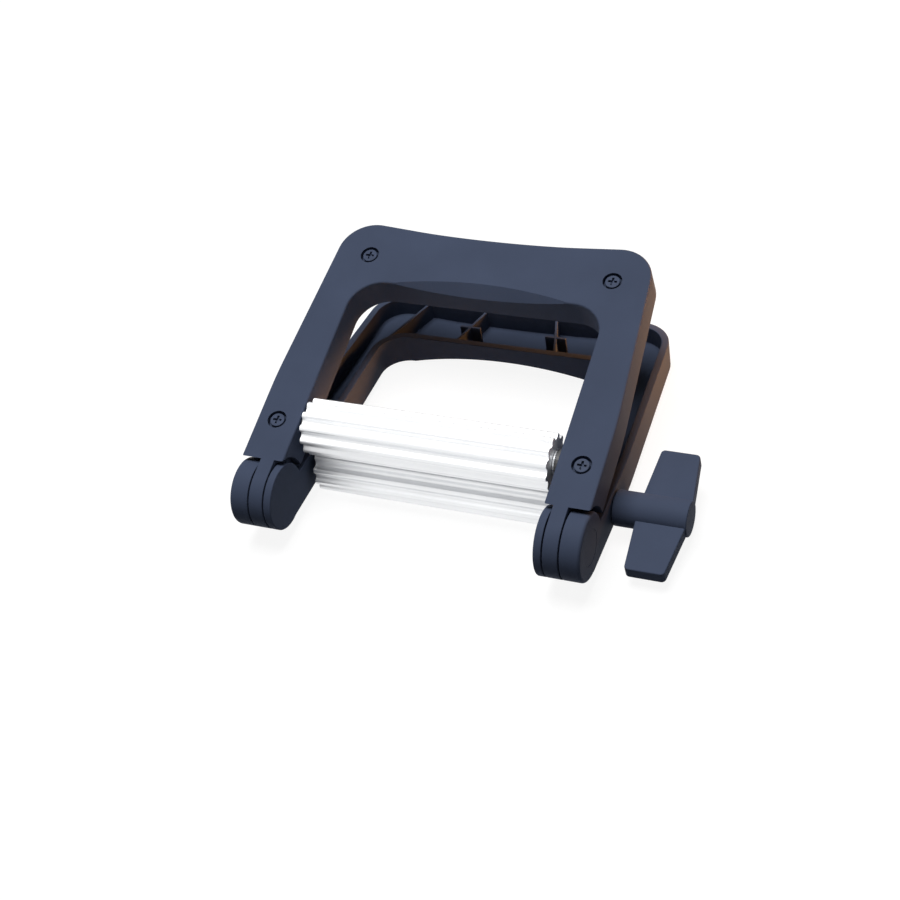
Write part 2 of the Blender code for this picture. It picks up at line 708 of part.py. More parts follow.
def make_shaft_ring():
    """The retaining ring at the shaft's left end, inside the left leg."""
    outer = -BUSH_END_X - SEAT_GAP
    inner = JOURNAL_RADIUS + JOURNAL_GAP
    ring = ring_along_x("shaft_ring", RING_RADIUS, inner, outer - RING_THICKNESS, outer)
    ring.data.materials.append(steel("ring steel"))
    return ring


def make_key_washer():
    low = LEG_OUTER_X + SEAT_GAP
    inner = JOURNAL_RADIUS + JOURNAL_GAP
    washer = ring_along_x("key_washer", KEY_WASHER_RADIUS, inner, low, low + KEY_WASHER_THICKNESS)
    washer.data.materials.append(blackened_steel("key washer steel"))
    return washer


def flat_block(name, low, high, gap):
    """The block that leaves the flat of the drive shaft's outer end."""
    base = JOURNAL_RADIUS - FLAT_DEPTH + gap
    return box(name, (low, -HUB_RADIUS, base), (high, HUB_RADIUS, HUB_RADIUS))


def make_drive_shaft(cutters):
    low = -BUSH_END_X - SEAT_GAP - RING_THICKNESS - SHAFT_END_REACH
    high = HUB_INNER_X + KEY_BORE_DEPTH - SEAT_GAP
    shaft = make_axle("drive_shaft", low, high, cutters)
    block = flat_block("shaft_flat", HUB_INNER_X - SEAT_GAP, high + OVERRUN, 0)
    block.rotation_euler = (BLADE_TILT, 0, 0)
    add_step(shaft, block, "DIFFERENCE", cutters)
    return shaft


def make_wing_key(cutters):
    """The turning key: a flat blade with two tapered wings across a round hub."""
    root_x = KEY_OUTER_X - BLADE_ROOT_WIDTH
    tip_x = KEY_OUTER_X - BLADE_TIP_SETBACK
    half = BLADE_SPAN / 2
    loop = [
        Vector((root_x, -HUB_RADIUS)),
        Vector((tip_x - BLADE_TIP_WIDTH, -half)),
        Vector((tip_x, -half)),
        Vector((KEY_OUTER_X, -HUB_RADIUS)),
        Vector((KEY_OUTER_X, HUB_RADIUS)),
        Vector((tip_x, half)),
        Vector((tip_x - BLADE_TIP_WIDTH, half)),
        Vector((root_x, HUB_RADIUS)),
    ]
    key = prism("wing_key", loop, -BLADE_THICKNESS / 2, BLADE_THICKNESS / 2)
    round_edges(key, BLADE_ROUND, 2)
    hub_x = KEY_OUTER_X - HUB_END_ROUND
    hub = turned("key_hub", [
        (0, KEY_OUTER_X + HUB_END_ROUND),
        (HUB_RADIUS - HUB_END_ROUND, KEY_OUTER_X + HUB_END_ROUND),
        (HUB_RADIUS, hub_x),
        (HUB_RADIUS, HUB_INNER_X),
        (0, HUB_INNER_X),
    ], False)
    hub.rotation_euler = (0, math.pi / 2, 0)
    hub.parent = key
    add_step(key, hub, "UNION", cutters)
    bore = rod_along_x("key_bore", JOURNAL_RADIUS + SEAT_GAP, HUB_INNER_X - OVERRUN,
                       HUB_INNER_X + KEY_BORE_DEPTH)
    flat = flat_block("key_flat", HUB_INNER_X - 2 * OVERRUN, KEY_OUTER_X, SEAT_GAP)
    add_step(bore, flat, "DIFFERENCE", cutters)
    bore.parent = key
    flat.parent = key
    add_step(key, bore, "DIFFERENCE", cutters)
    key.rotation_euler = (BLADE_TILT, 0, 0)
    key.data.materials.append(plastic("key plastic"))
    return key


def make_hinge_pin(name, hand):
    """A headed pin through the ears and the tongue of one leg."""
    head_x = EAR_OUTER_X - PIN_HEAD_SINK
    pin = turned(name, [
        (0, head_x),
        (PIN_HEAD_RADIUS, head_x),
        (PIN_HEAD_RADIUS, head_x - PIN_HEAD_THICKNESS),
        (PIN_RADIUS, head_x - PIN_HEAD_THICKNESS),
        (PIN_RADIUS, EAR_INNER_X + PIN_END_WALL + PIN_GAP),
        (0, EAR_INNER_X + PIN_END_WALL + PIN_GAP),
    ], False)
    pin.rotation_euler = (0, hand * math.pi / 2, 0)
    pin.data.materials.append(plastic(name + " plastic"))
    return pin


def empty(name, parent, location, tilt):
    """A frame that pieces hang on, turned about x."""
    frame = bpy.data.objects.new(name, None)
    bpy.context.scene.collection.objects.link(frame)
    frame.parent = parent
    frame.location = location
    frame.rotation_euler = (tilt, 0, 0)
    return frame


def put(pieces, frame, group):
    for piece in pieces:
        group.objects.link(piece)
        piece.parent = frame


def hang_tools(solid, frame):
    """Moves the hidden tools of a part into its frame."""
    for step in solid.modifiers:
        if step.type == "BOOLEAN" and step.object.parent is None:
            step.object.parent = frame
            hang_tools(step.object, frame)


def opening_angle():
    """The angle between the arms at which the rollers' flutes reach into each other."""
    reach = math.hypot(ROLLER_Y, ROLLER_HEIGHT)
    half = math.asin((ROLLER_RADIUS - ROLLER_MESH_DEPTH / 2) / reach)
    return 2 * (half - math.atan2(ROLLER_HEIGHT, ROLLER_Y))


def rest_tilt():
    """The turn that stands the part on its lower roller and the crossbar's outer edge."""
    reach_y = LOWER_INNER_Y + CROSSBAR_DEPTH - ROLLER_Y
    reach_z = ROLLER_HEIGHT - ARM_FACE
    return math.asin(-ROLLER_RADIUS / math.hypot(reach_y, reach_z)) - math.atan2(reach_z, reach_y)


def stand_at_origin(root, group):
    """Moves the part so that its box stands centred over the origin."""
    bpy.context.view_layer.update()
    graph = bpy.context.evaluated_depsgraph_get()
    places = []
    for piece in group.objects:
        seen = piece.evaluated_get(graph)
        places += [seen.matrix_world @ vertex.co for vertex in seen.data.vertices]
    low = Vector(min(place[axis] for place in places) for axis in range(3))
    high = Vector(max(place[axis] for place in places) for axis in range(3))
    root.location -= Vector(((low.x + high.x) / 2, (low.y + high.y) / 2, low.z))


def smooth_round_faces(group):
    for piece in group.objects:
        piece.data.shade_smooth()
        piece.data.set_sharp_from_angle(angle=math.radians(35))


def build():
    clear_scene()
    group = collection("tube_squeezer")
    cutters = collection("cutters")
    root = empty("lower_arm_frame", None, (0, 0, 0), rest_tilt())
    opening = opening_angle()
    upper = empty("upper_arm_hinge", root, (0, 0, 0), opening)
    lower_axis = empty("lower_roller_axis", root, (0, ROLLER_Y, -ROLLER_HEIGHT), 0)
    upper_axis = empty("upper_roller_axis", upper, (0, ROLLER_Y, ROLLER_HEIGHT), 0)
    pitch = 2 * math.pi / FLUTE_COUNT
    mesh_angle = math.pi / 2 + opening / 2
    upper_phase = math.pi / 2 - opening / 2 + pitch / 2

    lower_arm = make_lower_arm(cutters)
    pins = [make_hinge_pin("hinge_pin_left", -1), make_hinge_pin("hinge_pin_right", 1)]
    put([lower_arm] + pins, root, group)
    hang_tools(lower_arm, root)

    carried = [make_roller("lower_roller", mesh_angle, cutters), make_drive_shaft(cutters),
               make_shaft_ring(), make_wing_key(cutters)]
    seats = [make_bush("lower_bush_left", -1), make_bush("lower_bush_right", 1),
             make_washer("lower_washer_left", -1), make_washer("lower_washer_right", 1),
             make_outer_bush(), make_key_washer()]
    put(carried + seats, lower_axis, group)

    shell = make_upper_shell(cutters)
    cover = make_cover(cutters)
    put([shell, cover] + make_screws(cutters), upper, group)
    hang_tools(shell, upper)
    hang_tools(cover, upper)

    turning = [make_roller("upper_roller", upper_phase, cutters),
               make_axle("upper_axle", -AXLE_END_X, AXLE_END_X, cutters)]
    seats = [make_bush("upper_bush_left", -1), make_bush("upper_bush_right", 1),
             make_washer("upper_washer_left", -1), make_washer("upper_washer_right", 1)]
    put(turning + seats, upper_axis, group)
    for solid in carried:
        hang_tools(solid, lower_axis)
    for solid in turning:
        hang_tools(solid, upper_axis)

    smooth_round_faces(group)
    stand_at_origin(root, group)


build()
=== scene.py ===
import json
import math
from contextlib import contextmanager

import bmesh
import bpy
from mathutils import Matrix, Vector


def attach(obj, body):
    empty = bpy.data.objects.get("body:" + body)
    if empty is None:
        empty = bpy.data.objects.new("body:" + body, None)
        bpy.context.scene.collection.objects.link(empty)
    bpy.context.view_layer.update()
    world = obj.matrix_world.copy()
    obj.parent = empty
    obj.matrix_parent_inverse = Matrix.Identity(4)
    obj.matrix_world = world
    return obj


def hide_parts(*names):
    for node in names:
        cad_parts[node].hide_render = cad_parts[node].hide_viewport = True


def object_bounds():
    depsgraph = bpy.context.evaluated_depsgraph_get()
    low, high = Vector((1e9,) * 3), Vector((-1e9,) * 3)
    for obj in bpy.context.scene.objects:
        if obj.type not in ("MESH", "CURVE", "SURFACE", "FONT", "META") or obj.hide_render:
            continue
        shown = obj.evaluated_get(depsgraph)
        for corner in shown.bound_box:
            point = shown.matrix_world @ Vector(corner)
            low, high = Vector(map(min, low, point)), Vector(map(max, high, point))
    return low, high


bl_info = {
    "name": "Tube Squeezer",
    "version": (1, 0, 0),
    "blender": (4, 5, 0),
    "location": "View3D > Sidebar > Squeezer",
    "description": "Models a hinged tube squeezer with fluted rollers around its packed frame",
    "category": "Add Mesh",
}

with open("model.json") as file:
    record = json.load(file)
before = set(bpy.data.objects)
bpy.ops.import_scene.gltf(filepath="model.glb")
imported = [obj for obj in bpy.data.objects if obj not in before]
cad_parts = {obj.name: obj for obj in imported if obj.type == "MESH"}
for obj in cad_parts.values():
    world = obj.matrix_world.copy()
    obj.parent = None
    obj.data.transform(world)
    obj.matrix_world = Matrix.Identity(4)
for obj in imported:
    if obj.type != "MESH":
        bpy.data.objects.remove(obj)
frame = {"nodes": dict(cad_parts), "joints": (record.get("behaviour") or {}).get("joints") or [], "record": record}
CAD_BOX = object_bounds()
JOINTS = {joint["name"]: Vector(joint["pos_m"]) for joint in frame["joints"]}
FACES = {mount["name"]: Vector(mount["axis"]) for mount in frame["record"]["mounts"]}
HINGE = JOINTS["arm_hinge"]
LOWER_AXIS = JOINTS["lower_roller_spin"]
UPPER_AXIS = JOINTS["upper_roller_spin"]
NIP = UPPER_AXIS - LOWER_AXIS
LOWER_TILT = math.atan2(FACES["rest_face"].y, -FACES["rest_face"].z)
UPPER_TILT = math.atan2(-FACES["top_face"].y, FACES["top_face"].z)
LOWER_FRAME = Matrix.Translation(HINGE) @ Matrix.Rotation(LOWER_TILT, 4, "X")
UPPER_FRAME = Matrix.Translation(HINGE) @ Matrix.Rotation(UPPER_TILT, 4, "X")
ALONG_X = Matrix(((0, 0, 1, 0), (1, 0, 0, 0), (0, 1, 0, 0), (0, 0, 0, 1)))
X, Z = 0, 2

# Places closer than CLOSE are one, and cutters run past what they cut by OVERRUN
CLOSE = 2e-6
OVERRUN = 0.004
SHARP = math.radians(50)
FACING = 0.9

# Share of a flute's depth at each step away from a tip's middle
FLUTE_STEPS = 12
FLUTE_PROFILE = {2: 0.10, 3: 0.46, 4: 0.82, 5: 0.97, 6: 1.0}

# Noise values over which a finish's colour and its roughness change
TONE_SPAN = (0.3, 0.7)
GLOSS_SPAN = (0.3, 0.9)

# The stage: camera with its turn in degrees, lamps with targets, nearest distance, floor
CAMERA_PLACE, CAMERA_TURN = (0.172747, -0.339745, 0.366476), (45.840, 9.162, 20.725)
OVERHEAD_PLACE, OVERHEAD_TARGET = (-0.12, 0.04, 1.20), (0, 0, 0)
WARM_PLACE, WARM_TARGET = (0.150, 0.150, 0.045), (0.046, 0.052, 0.024)
NEAREST, FLOOR_SIZE, FLOOR_GAP = 0.01, 6, 0.0001


def number(name, description, default, **limits):
    return bpy.props.FloatProperty(name=name, description=description, default=default, **limits)


def length(name, description, default):
    return number(name, description, default, min=0, precision=5, unit="LENGTH", subtype="DISTANCE")


def angle(name, description, degrees):
    return number(name, description, math.radians(degrees), unit="ROTATION", subtype="ANGLE")


def tint(name, description, default):
    return bpy.props.FloatVectorProperty(name=name, description=description, default=default,
                                         min=0, max=1, size=3, subtype="COLOR")


def factor(name, description, default, low=0):
    return number(name, description, default, min=low, max=1, precision=3, subtype="FACTOR")


def power(name, description, default):
    return number(name, description, default, min=0, precision=3, unit="POWER")


class ArmSizes(bpy.types.PropertyGroup):
    face: length("Outer face", "From the hinge axis to each outer face", 0.01026)
    leg_outer: length("Leg outer side", "Half the width over the legs", 0.0550)
    leg_inner: length("Leg inner side", "Half the width between the legs", 0.0412)
    upper_leg_end: length("Upper leg end", "Start of the upper legs, from the hinge", 0.004)
    taper_start: length("Taper start", "Where the legs begin to lean in, from the hinge", 0.036)
    taper_round: length("Taper radius", "Radius at the taper's start", 0.150)
    corner: length("Corner", "Half the width at the outer corners", 0.0512)
    outer_round: length("Outer corner", "Radius of the crossbar's corners", 0.0112)
    upper_round: length("Upper window corner", "Its radius", 0.0104)
    lower_round: length("Lower window corner", "Its radius", 0.0085)
    upper_reach: length("Upper window", "Its far end, from the hinge", 0.0744)
    lower_reach: length("Lower window", "Its far end, from the hinge", 0.0795)
    upper_crossbar: length("Upper crossbar depth", "Its depth at the corners", 0.0231)
    lower_crossbar: length("Lower crossbar depth", "Its depth at the corners", 0.0233)
    upper_dip: length("Upper dip", "How far the crossbar dips in", 0.0042)
    lower_dip: length("Lower dip", "How far the crossbar dips in", 0.0044)
    dip_round: length("Dip round", "Radius of the dip", 0.330)
    wall: length("Side wall", "Thickness of the side walls", 0.0024)
    face_wall: length("Face wall", "Thickness of the upper face", 0.0022)
    tray_floor: length("Tray floor", "Thickness of the tray's floor", 0.0038)
    edge_round: length("Edge radius", "Radius of the outer face's edges", 0.0006)
    rim_round: length("Rim radius", "Radius of the rims' edges", 0.0003)
    rim_drop: length("Rim drop", "How far the rims lie past the axis", 0.0013)
    rim_slope: angle("Rim slope", "Slope of the rims", 0.9)


class ScoopSizes(bpy.types.PropertyGroup):
    upper_half: length("Upper half width", "Half the width of the finger scoop", 0.030)
    upper_depth: length("Upper depth", "Depth of the scoop in the face", 0.0034)
    upper_height: length("Upper height", "Height of the scoop in the wall", 0.0034)
    upper_fullness: factor("Upper fullness", "Near 0 a flat arc, at 1 a half ellipse", 0.013, 0.005)
    lower_half: length("Lower half width", "Half the width of the finger scoop", 0.0335)
    lower_depth: length("Lower depth", "Depth of the scoop in the face", 0.0066)
    lower_height: length("Lower height", "Height of the scoop in the wall", 0.0047)
    lower_fullness: factor("Lower fullness", "Near 0 a flat arc, at 1 a half ellipse", 0.1, 0.005)
    slice_half: length("Cutter half height", "Half the cutter's height", 0.009)
    slice_front: length("Cutter front", "How far the cutter stands out", 0.003)
    slice_end: length("Cutter end", "How far the cutter passes the ends", 0.0003)


class RibSizes(bpy.types.PropertyGroup):
    thickness: length("Rib width", "Thickness of the ribs", 0.0009)
    top_round: length("Rib top", "Radius of the ribs' top edges", 0.00015)
    sink: length("Rib sink", "How far the ribs reach into the floor", 0.0005)
    outer_x: length("Rib outer end", "Crossed ribs at the outer wall", 0.0125)
    inner_x: length("Rib inner end", "Crossed ribs at the inner wall", 0.0172)
    cross_half: length("Short rib half length", "Half the short ribs' length", 0.0035)
    corner_outer_x: length("Corner rib outer end", "At the outer wall", 0.0330)
    corner_inner_x: length("Corner rib inner end", "At the inner corner", 0.0408)
    corner_reach: length("Corner rib reach", "How far they pass the window's end", 0.0024)


class KnuckleSizes(bpy.types.PropertyGroup):
    ear_round: length("Ear edge", "Radius of the ears' outer edge", 0.0010)
    seam_round: length("Seam edge", "Radius of the edges along the seams", 0.0002)
    slot_end: length("Slot end", "End of the tongue's slot, from the hinge", 0.0113)
    slot_wall: length("Slot wall", "From the slot's end to the lower tray", 0.004)
    shoulder: length("Shoulder", "Radius of the relief above the ears", 0.0120)
    shoulder_wall: length("Shoulder wall", "From the shoulder to the upper tray", 0.003)
    tongue_inner: length("Tongue inner side", "Inner side of the tongues", 0.0440)
    tongue_outer: length("Tongue outer side", "Outer side of the tongues", 0.0485)
    tongue_root: length("Tongue root", "How far the tongues reach into the legs", 0.0015)
    tongue_step: length("Tongue step", "From the rim to the tongues' straight side", 0.0002)
    gap: length("Knuckle gap", "Gap between the tongues and the ears", 0.00045)
    pin: length("Pin", "Radius of the hinge pins", 0.0020)
    pin_play: length("Pin play", "Gap round the pins and at their ends", 0.0002)
    pin_wall: length("Pin wall", "Wall at the inner end of the bores", 0.0011)
    pin_head: length("Pin head", "Radius of the pins' heads", 0.0054)
    pin_head_depth: length("Pin head depth", "Thickness of the pins' heads", 0.0014)
    pin_head_round: length("Pin head edge", "Radius of the heads' edge", 0.00012)
    pin_gap: length("Pin head gap", "Gap round the pins' heads", 0.00004)
    pin_seat: length("Pin seat", "Gap behind the pins' heads", 0.0003)
    pin_sink: length("Pin sink", "How far the heads lie below the ears", 0.00005)


class RollerSizes(bpy.types.PropertyGroup):
    radius: length("Roller radius", "Radius over the flutes' tips", 0.00865)
    half: length("Roller half length", "Half the length of the rollers", 0.0392)
    depth: length("Flute depth", "Depth of the flutes", 0.0014)
    flutes: bpy.props.IntProperty(name="Flutes", description="Flutes around a roller",
                                  default=12, min=4, max=40)
    end_round: length("End edge", "Chamfer of the rollers' ends", 0.0003)
    hexagon: length("Bore", "Corner radius of the six-sided bore", 0.0034)
    seat: length("Bush seat", "Radius of the bushes' seats", 0.0027)


class KeySizes(bpy.types.PropertyGroup):
    hub: length("Hub", "Radius of the key's hub", 0.0054)
    hub_start: length("Hub start", "The hub's inner end, from the middle", 0.0554)
    hub_end: length("Hub end", "How far the hub stands past the blade", 0.0004)
    socket: length("Hub socket", "Radius of the washer's socket", 0.0044)
    socket_end: length("Socket end", "The socket's bottom, from the middle", 0.0562)
    outer: length("Key reach", "The blade's outer side, from the middle", 0.0772)
    span: length("Blade span", "Length over both wings", 0.0428)
    thickness: length("Blade depth", "Thickness of the blade", 0.0042)
    root: length("Root width", "Width of the wings at the hub", 0.0147)
    tip: length("Tip width", "Width of the wings at their tips", 0.0117)
    setback: length("Tip setback", "How far the tips stand back", 0.0019)
    corner: length("Wing corner", "Radius of the wings' corners", 0.0012)
    edge: length("Key edge", "Radius of the key's edges", 0.0004)
    tilt: angle("Blade tilt", "Turn of the blade about its hub", 10.8)


class ScrewSizes(bpy.types.PropertyGroup):
    head: length("Head", "Radius of the screws' heads", 0.00228)
    head_depth: length("Head depth", "Thickness of the heads", 0.0013)
    head_round: length("Head edge", "Radius of the heads' edge", 0.0002)
    shank: length("Shank", "Radius of the shanks", 0.0011)
    shank_length: length("Shank length", "Length of the shanks", 0.0079)
    recess: length("Recess", "Radius of the heads' recesses", 0.00302)
    recess_depth: length("Recess depth", "Depth of the recesses", 0.0020)
    sink: length("Head sink", "How far the heads lie below the face", 0.0002)
    cross_half: length("Slot half length", "Half the slots' length", 0.0014)
    cross_width: length("Slot half width", "Half the slots' width", 0.00036)
    cross_depth: length("Slot depth", "Depth of the crossed slots", 0.0009)
    bar_x: length("Crossbar screw x", "Crossbar screws, from the middle", 0.0403)
    bar_y: length("Crossbar screw y", "Crossbar screws, from the hinge", 0.0843)
    leg_x: length("Leg screw x", "Leg screws, from the middle", 0.0485)
    leg_y: length("Leg screw y", "Leg screws, from the hinge", 0.0202)


class Finishes(bpy.types.PropertyGroup):
    arm: tint("Arm plastic", "Matt navy grey of the arms", (0.057, 0.073, 0.119))
    key: tint("Key plastic", "Satin navy grey of the key", (0.058, 0.074, 0.120))
    cover: tint("Cover plastic", "Dark plastic of the inner cover", (0.020, 0.023, 0.034))
    aluminium: tint("Aluminium", "Bright anodised aluminium", (0.86, 0.87, 0.885))
    steel: tint("Steel", "Turned steel", (0.56, 0.57, 0.59))
    screw: tint("Screw steel", "Blackened steel", (0.050, 0.066, 0.112))
    acetal: tint("Acetal", "Dark bearing plastic", (0.060, 0.060, 0.063))
    floor: tint("Floor", "Pale studio floor", (0.16, 0.16, 0.16))


class StageSettings(bpy.types.PropertyGroup):
    lens: number("Lens", "Focal length of the camera", 67.514, min=1, unit="CAMERA")
    overhead_size: length("Overhead size", "Side of the overhead lamp", 0.7)
    overhead_power: power("Overhead power", "Power of the overhead lamp", 15.2)
    warm_size: length("Warm size", "Side of the warm lamp", 0.05)
    warm_power: power("Warm power", "Power of the warm lamp", 0.042)
    warm_tint: tint("Warm tint", "Colour of the warm lamp", (1, 0.38, 0.08))
    warm_spread: angle("Warm spread", "Spread of the warm lamp", 34)
    ambient: factor("Ambient", "Strength of the world on the object", 0.045)
    glow: factor("Floor glow", "Strength of the floor as a background", 0.90)


# Modelling by hand


def near(a, b):
    return abs(a - b) < CLOSE


def every(part, test):
    """Whether a test holds at every corner of an edge or face."""
    return all(test(vert.co) for vert in part.verts)


def level(edge, axis):
    """Whether an edge runs square to an axis."""
    first, last = edge.verts
    return near(first.co[axis], last.co[axis])


def looks(face, x=0, y=0, z=0):
    """Whether a face looks in a direction."""
    return face.normal.dot(Vector((x, y, z))) > FACING


def rest_everything():
    if bpy.context.object and bpy.context.object.mode != "OBJECT":
        bpy.ops.object.mode_set(mode="OBJECT")
    bpy.ops.object.select_all(action="DESELECT")


def focus(piece):
    rest_everything()
    piece.select_set(True)
    bpy.context.view_layer.objects.active = piece


def settle(name):
    """Names the primitive just added and applies its place."""
    piece = bpy.context.object
    piece.name = name
    piece.data.name = name
    bpy.ops.object.transform_apply(location=True, rotation=True, scale=True)
    return piece


def add_block(name, low, high):
    rest_everything()
    size = Vector(high) - Vector(low)
    bpy.ops.mesh.primitive_cube_add(size=1, location=(Vector(high) + Vector(low)) / 2, scale=size)
    return settle(name)


def add_rod(name, radius, low, high, sides=96):
    """A cylinder along z."""
    rest_everything()
    bpy.ops.mesh.primitive_cylinder_add(vertices=sides, radius=radius, depth=high - low,
                                        location=(0, 0, (high + low) / 2))
    return settle(name)


def add_rod_along_x(name, radius, ends, y=0.0, z=0.0, sides=96):
    rod = add_rod(name, radius, min(ends), max(ends), sides)
    return place(rod, Matrix.Translation((0, y, z)) @ ALONG_X)


def place(piece, matrix):
    """Puts a piece at its place, with the place in its mesh."""
    focus(piece)
    piece.matrix_world = matrix
    bpy.ops.object.transform_apply(location=True, rotation=True, scale=True)
    return piece


@contextmanager
def shaping(piece):
    """Edit mode on a piece, with all of it selected at the start."""
    focus(piece)
    bpy.ops.object.mode_set(mode="EDIT")
    bpy.ops.mesh.select_mode(type="FACE")
    bpy.ops.mesh.select_all(action="SELECT")
    yield
    bpy.ops.object.mode_set(mode="OBJECT")


def pick(kind, test):
    """Selects the faces, edges or vertices that pass a test, and nothing else."""
    bpy.ops.mesh.select_mode(type=kind)
    bpy.ops.mesh.select_all(action="DESELECT")
    mesh = bpy.context.object.data
    shape = bmesh.from_edit_mesh(mesh)
    parts = {"VERT": shape.verts, "EDGE": shape.edges, "FACE": shape.faces}[kind]
    chosen = [part for part in parts if test(part)]
    if not chosen:
        raise RuntimeError("nothing to select on " + bpy.context.object.name)
    for part in chosen:
        part.select_set(True)
    shape.select_flush_mode()
    bmesh.update_edit_mesh(mesh)


def cut_plane(point, normal, clear_outer=False, clear_inner=False, fill=False):
    bpy.ops.mesh.bisect(plane_co=point, plane_no=normal, use_fill=fill,
                        clear_outer=clear_outer, clear_inner=clear_inner)


def pull(offset):
    bpy.ops.mesh.extrude_region_move(TRANSFORM_OT_translate={"value": offset})


def slide(test, offset):
    pick("VERT", lambda vert: test(vert.co))
    bpy.ops.transform.translate(value=offset)


def bevel(width, segments):
    bpy.ops.mesh.bevel(offset=width, offset_type="OFFSET", segments=segments, affect="EDGES",
                       profile=0.5, clamp_overlap=False)


def round_rim(axis, place_on_axis, width, segments):
    """Rounds the edges that lie in a plane square to an axis."""
    pick("EDGE", lambda edge: every(edge, lambda co: near(co[axis], place_on_axis)))
    bevel(width, segments)


def draw_shank(neck, reach):
    """Insets a head's underside and pulls the shank out of it."""
    pick("FACE", lambda face: looks(face, z=-1))
    bpy.ops.mesh.inset(thickness=neck, use_even_offset=True)
    pull((0, 0, -reach))


def round_corner(x, y, before, after, radius, segments):
    """Rounds the upright edges at a corner of a prism between its two neighbouring corners."""
    here = Vector((x, y))
    turn = (here - Vector(before)).angle(Vector(after) - here)
    pick("EDGE", lambda edge: level(edge, X)
         and every(edge, lambda co: near(abs(co.x), x) and near(co.y, y)))
    bevel(radius * math.tan(turn / 2), segments)


def tidy_mesh(piece):
    with shaping(piece):
        bpy.ops.mesh.remove_doubles(threshold=CLOSE)
        bpy.ops.mesh.normals_make_consistent(inside=False)


def apply_modifier(piece, modifier):
    focus(piece)
    bpy.ops.object.modifier_apply(modifier=modifier.name)


def combine(piece, tool, operation):
    """Joins a tool on a piece, or carves it out, and removes the tool."""
    modifier = piece.modifiers.new("join", "BOOLEAN")
    modifier.operation = operation
    modifier.solver = "EXACT"
    modifier.object = tool
    apply_modifier(piece, modifier)
    bpy.data.objects.remove(tool, do_unlink=True)


def join(piece, tool):
    combine(piece, tool, "UNION")


def carve(piece, tool):
    combine(piece, tool, "DIFFERENCE")


def smooth(piece, degrees=32):
    """Smooth shading that keeps flat faces flat."""
    focus(piece)
    bpy.ops.object.shade_smooth_by_angle(angle=math.radians(degrees))
    modifier = piece.modifiers.new("flat faces", "WEIGHTED_NORMAL")
    modifier.keep_sharp = True
    modifier.weight = 80
    apply_modifier(piece, modifier)


def copy_of(piece, name):
    """A copy with its own mesh."""
    focus(piece)
    bpy.ops.object.duplicate(linked=False)
    twin = bpy.context.object
    twin.name = name
    twin.data.name = name
    return twin


def finish_piece(piece, body, slot, finish, *nodes):
    """Gives a piece its material and its place in the frame."""
    piece.data.materials.clear()
    piece.data.materials.append(finish)
    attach(piece, body)
    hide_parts(*nodes)


# Arms


def rim_height(sizes, y):
    return math.tan(sizes.rim_slope) * y - sizes.rim_drop


def draw_arm(name, sizes, side, reach, crossbar, dip, leg_end, inner_round):
    """The solid U of an arm: half is blocked out, mirrored, and its corners are rounded."""
    corner_y = reach + crossbar
    lean = (sizes.leg_outer - sizes.corner) / (corner_y - sizes.taper_start)
    arm = add_block(name, (0, reach, -sizes.face), (sizes.leg_outer, corner_y, sizes.face))
    with shaping(arm):
        cut_plane((sizes.leg_inner, 0, 0), (1, 0, 0))
        pick("FACE", lambda face: looks(face, y=-1)
             and face.calc_center_median().x > sizes.leg_inner)
        pull((0, sizes.taper_start - reach, 0))
        pull((0, leg_end - sizes.taper_start, 0))
        slide(lambda co: near(co.x, sizes.leg_outer) and near(co.y, corner_y),
              (sizes.corner - sizes.leg_outer, 0, 0))
        slide(lambda co: near(co.x, sizes.leg_outer) and near(co.y, reach),
              (lean * (sizes.taper_start - reach), 0, 0))
        slide(lambda co: near(co.x, 0) and near(co.y, corner_y), (0, -dip, 0))
        slide(lambda co: near(co.x, sizes.leg_inner) and near(co.y, corner_y),
              (0, -dip * (1 - sizes.leg_inner / sizes.corner), 0))
        pick("FACE", lambda face: looks(face, x=-1) and near(face.calc_center_median().x, 0))
        bpy.ops.mesh.delete(type="FACE")
    mirror = arm.modifiers.new("other half", "MIRROR")
    mirror.use_clip = True
    apply_modifier(arm, mirror)
    with shaping(arm):
        bpy.ops.mesh.dissolve_limited(angle_limit=math.radians(0.5))
        middle = (0, corner_y - dip)
        outer = (sizes.corner, corner_y)
        taper = (sizes.leg_outer, sizes.taper_start)
        round_corner(*outer, taper, middle, sizes.outer_round, segments=14)
        round_corner(*taper, (sizes.leg_outer, leg_end), outer, sizes.taper_round, segments=6)
        round_corner(sizes.leg_inner, reach, (sizes.leg_inner, leg_end), (0, reach),
                     inner_round, segments=12)
        round_corner(*middle, outer, (-sizes.corner, corner_y), sizes.dip_round, segments=18)
        round_rim(Z, side * sizes.face, sizes.edge_round, segments=4)
    return arm


def open_tray(arm, sizes, side, cavity_start, thickness):
    """Cuts the arm off at its rim and hollows it."""
    slope = math.tan(sizes.rim_slope)
    normal = Vector((0, -side * slope, 1)).normalized()
    floor = side * (sizes.face - thickness)

    def on_rim(co):
        return abs(co.z - side * rim_height(sizes, co.y)) < 2 * CLOSE

    def on_tray(face):
        return every(face, on_rim) and face.calc_center_median().y > cavity_start

    with shaping(arm):
        cut_plane((0, 0, -side * sizes.rim_drop), normal, clear_outer=side < 0,
                  clear_inner=side > 0, fill=True)
        pick("FACE", lambda face: every(face, on_rim))
        cut_plane((0, cavity_start - sizes.wall, 0), (0, 1, 0))
        pick("FACE", on_tray)
        bpy.ops.mesh.inset(thickness=sizes.wall, use_even_offset=True)
        pull((0, 0, floor))
        bpy.ops.transform.resize(value=(1, 1, 0), center_override=(0, 0, floor))
        pick("EDGE", lambda edge: every(edge, on_rim) and edge.calc_face_angle(0) > SHARP)
        bevel(sizes.rim_round, segments=2)
    tidy_mesh(arm)


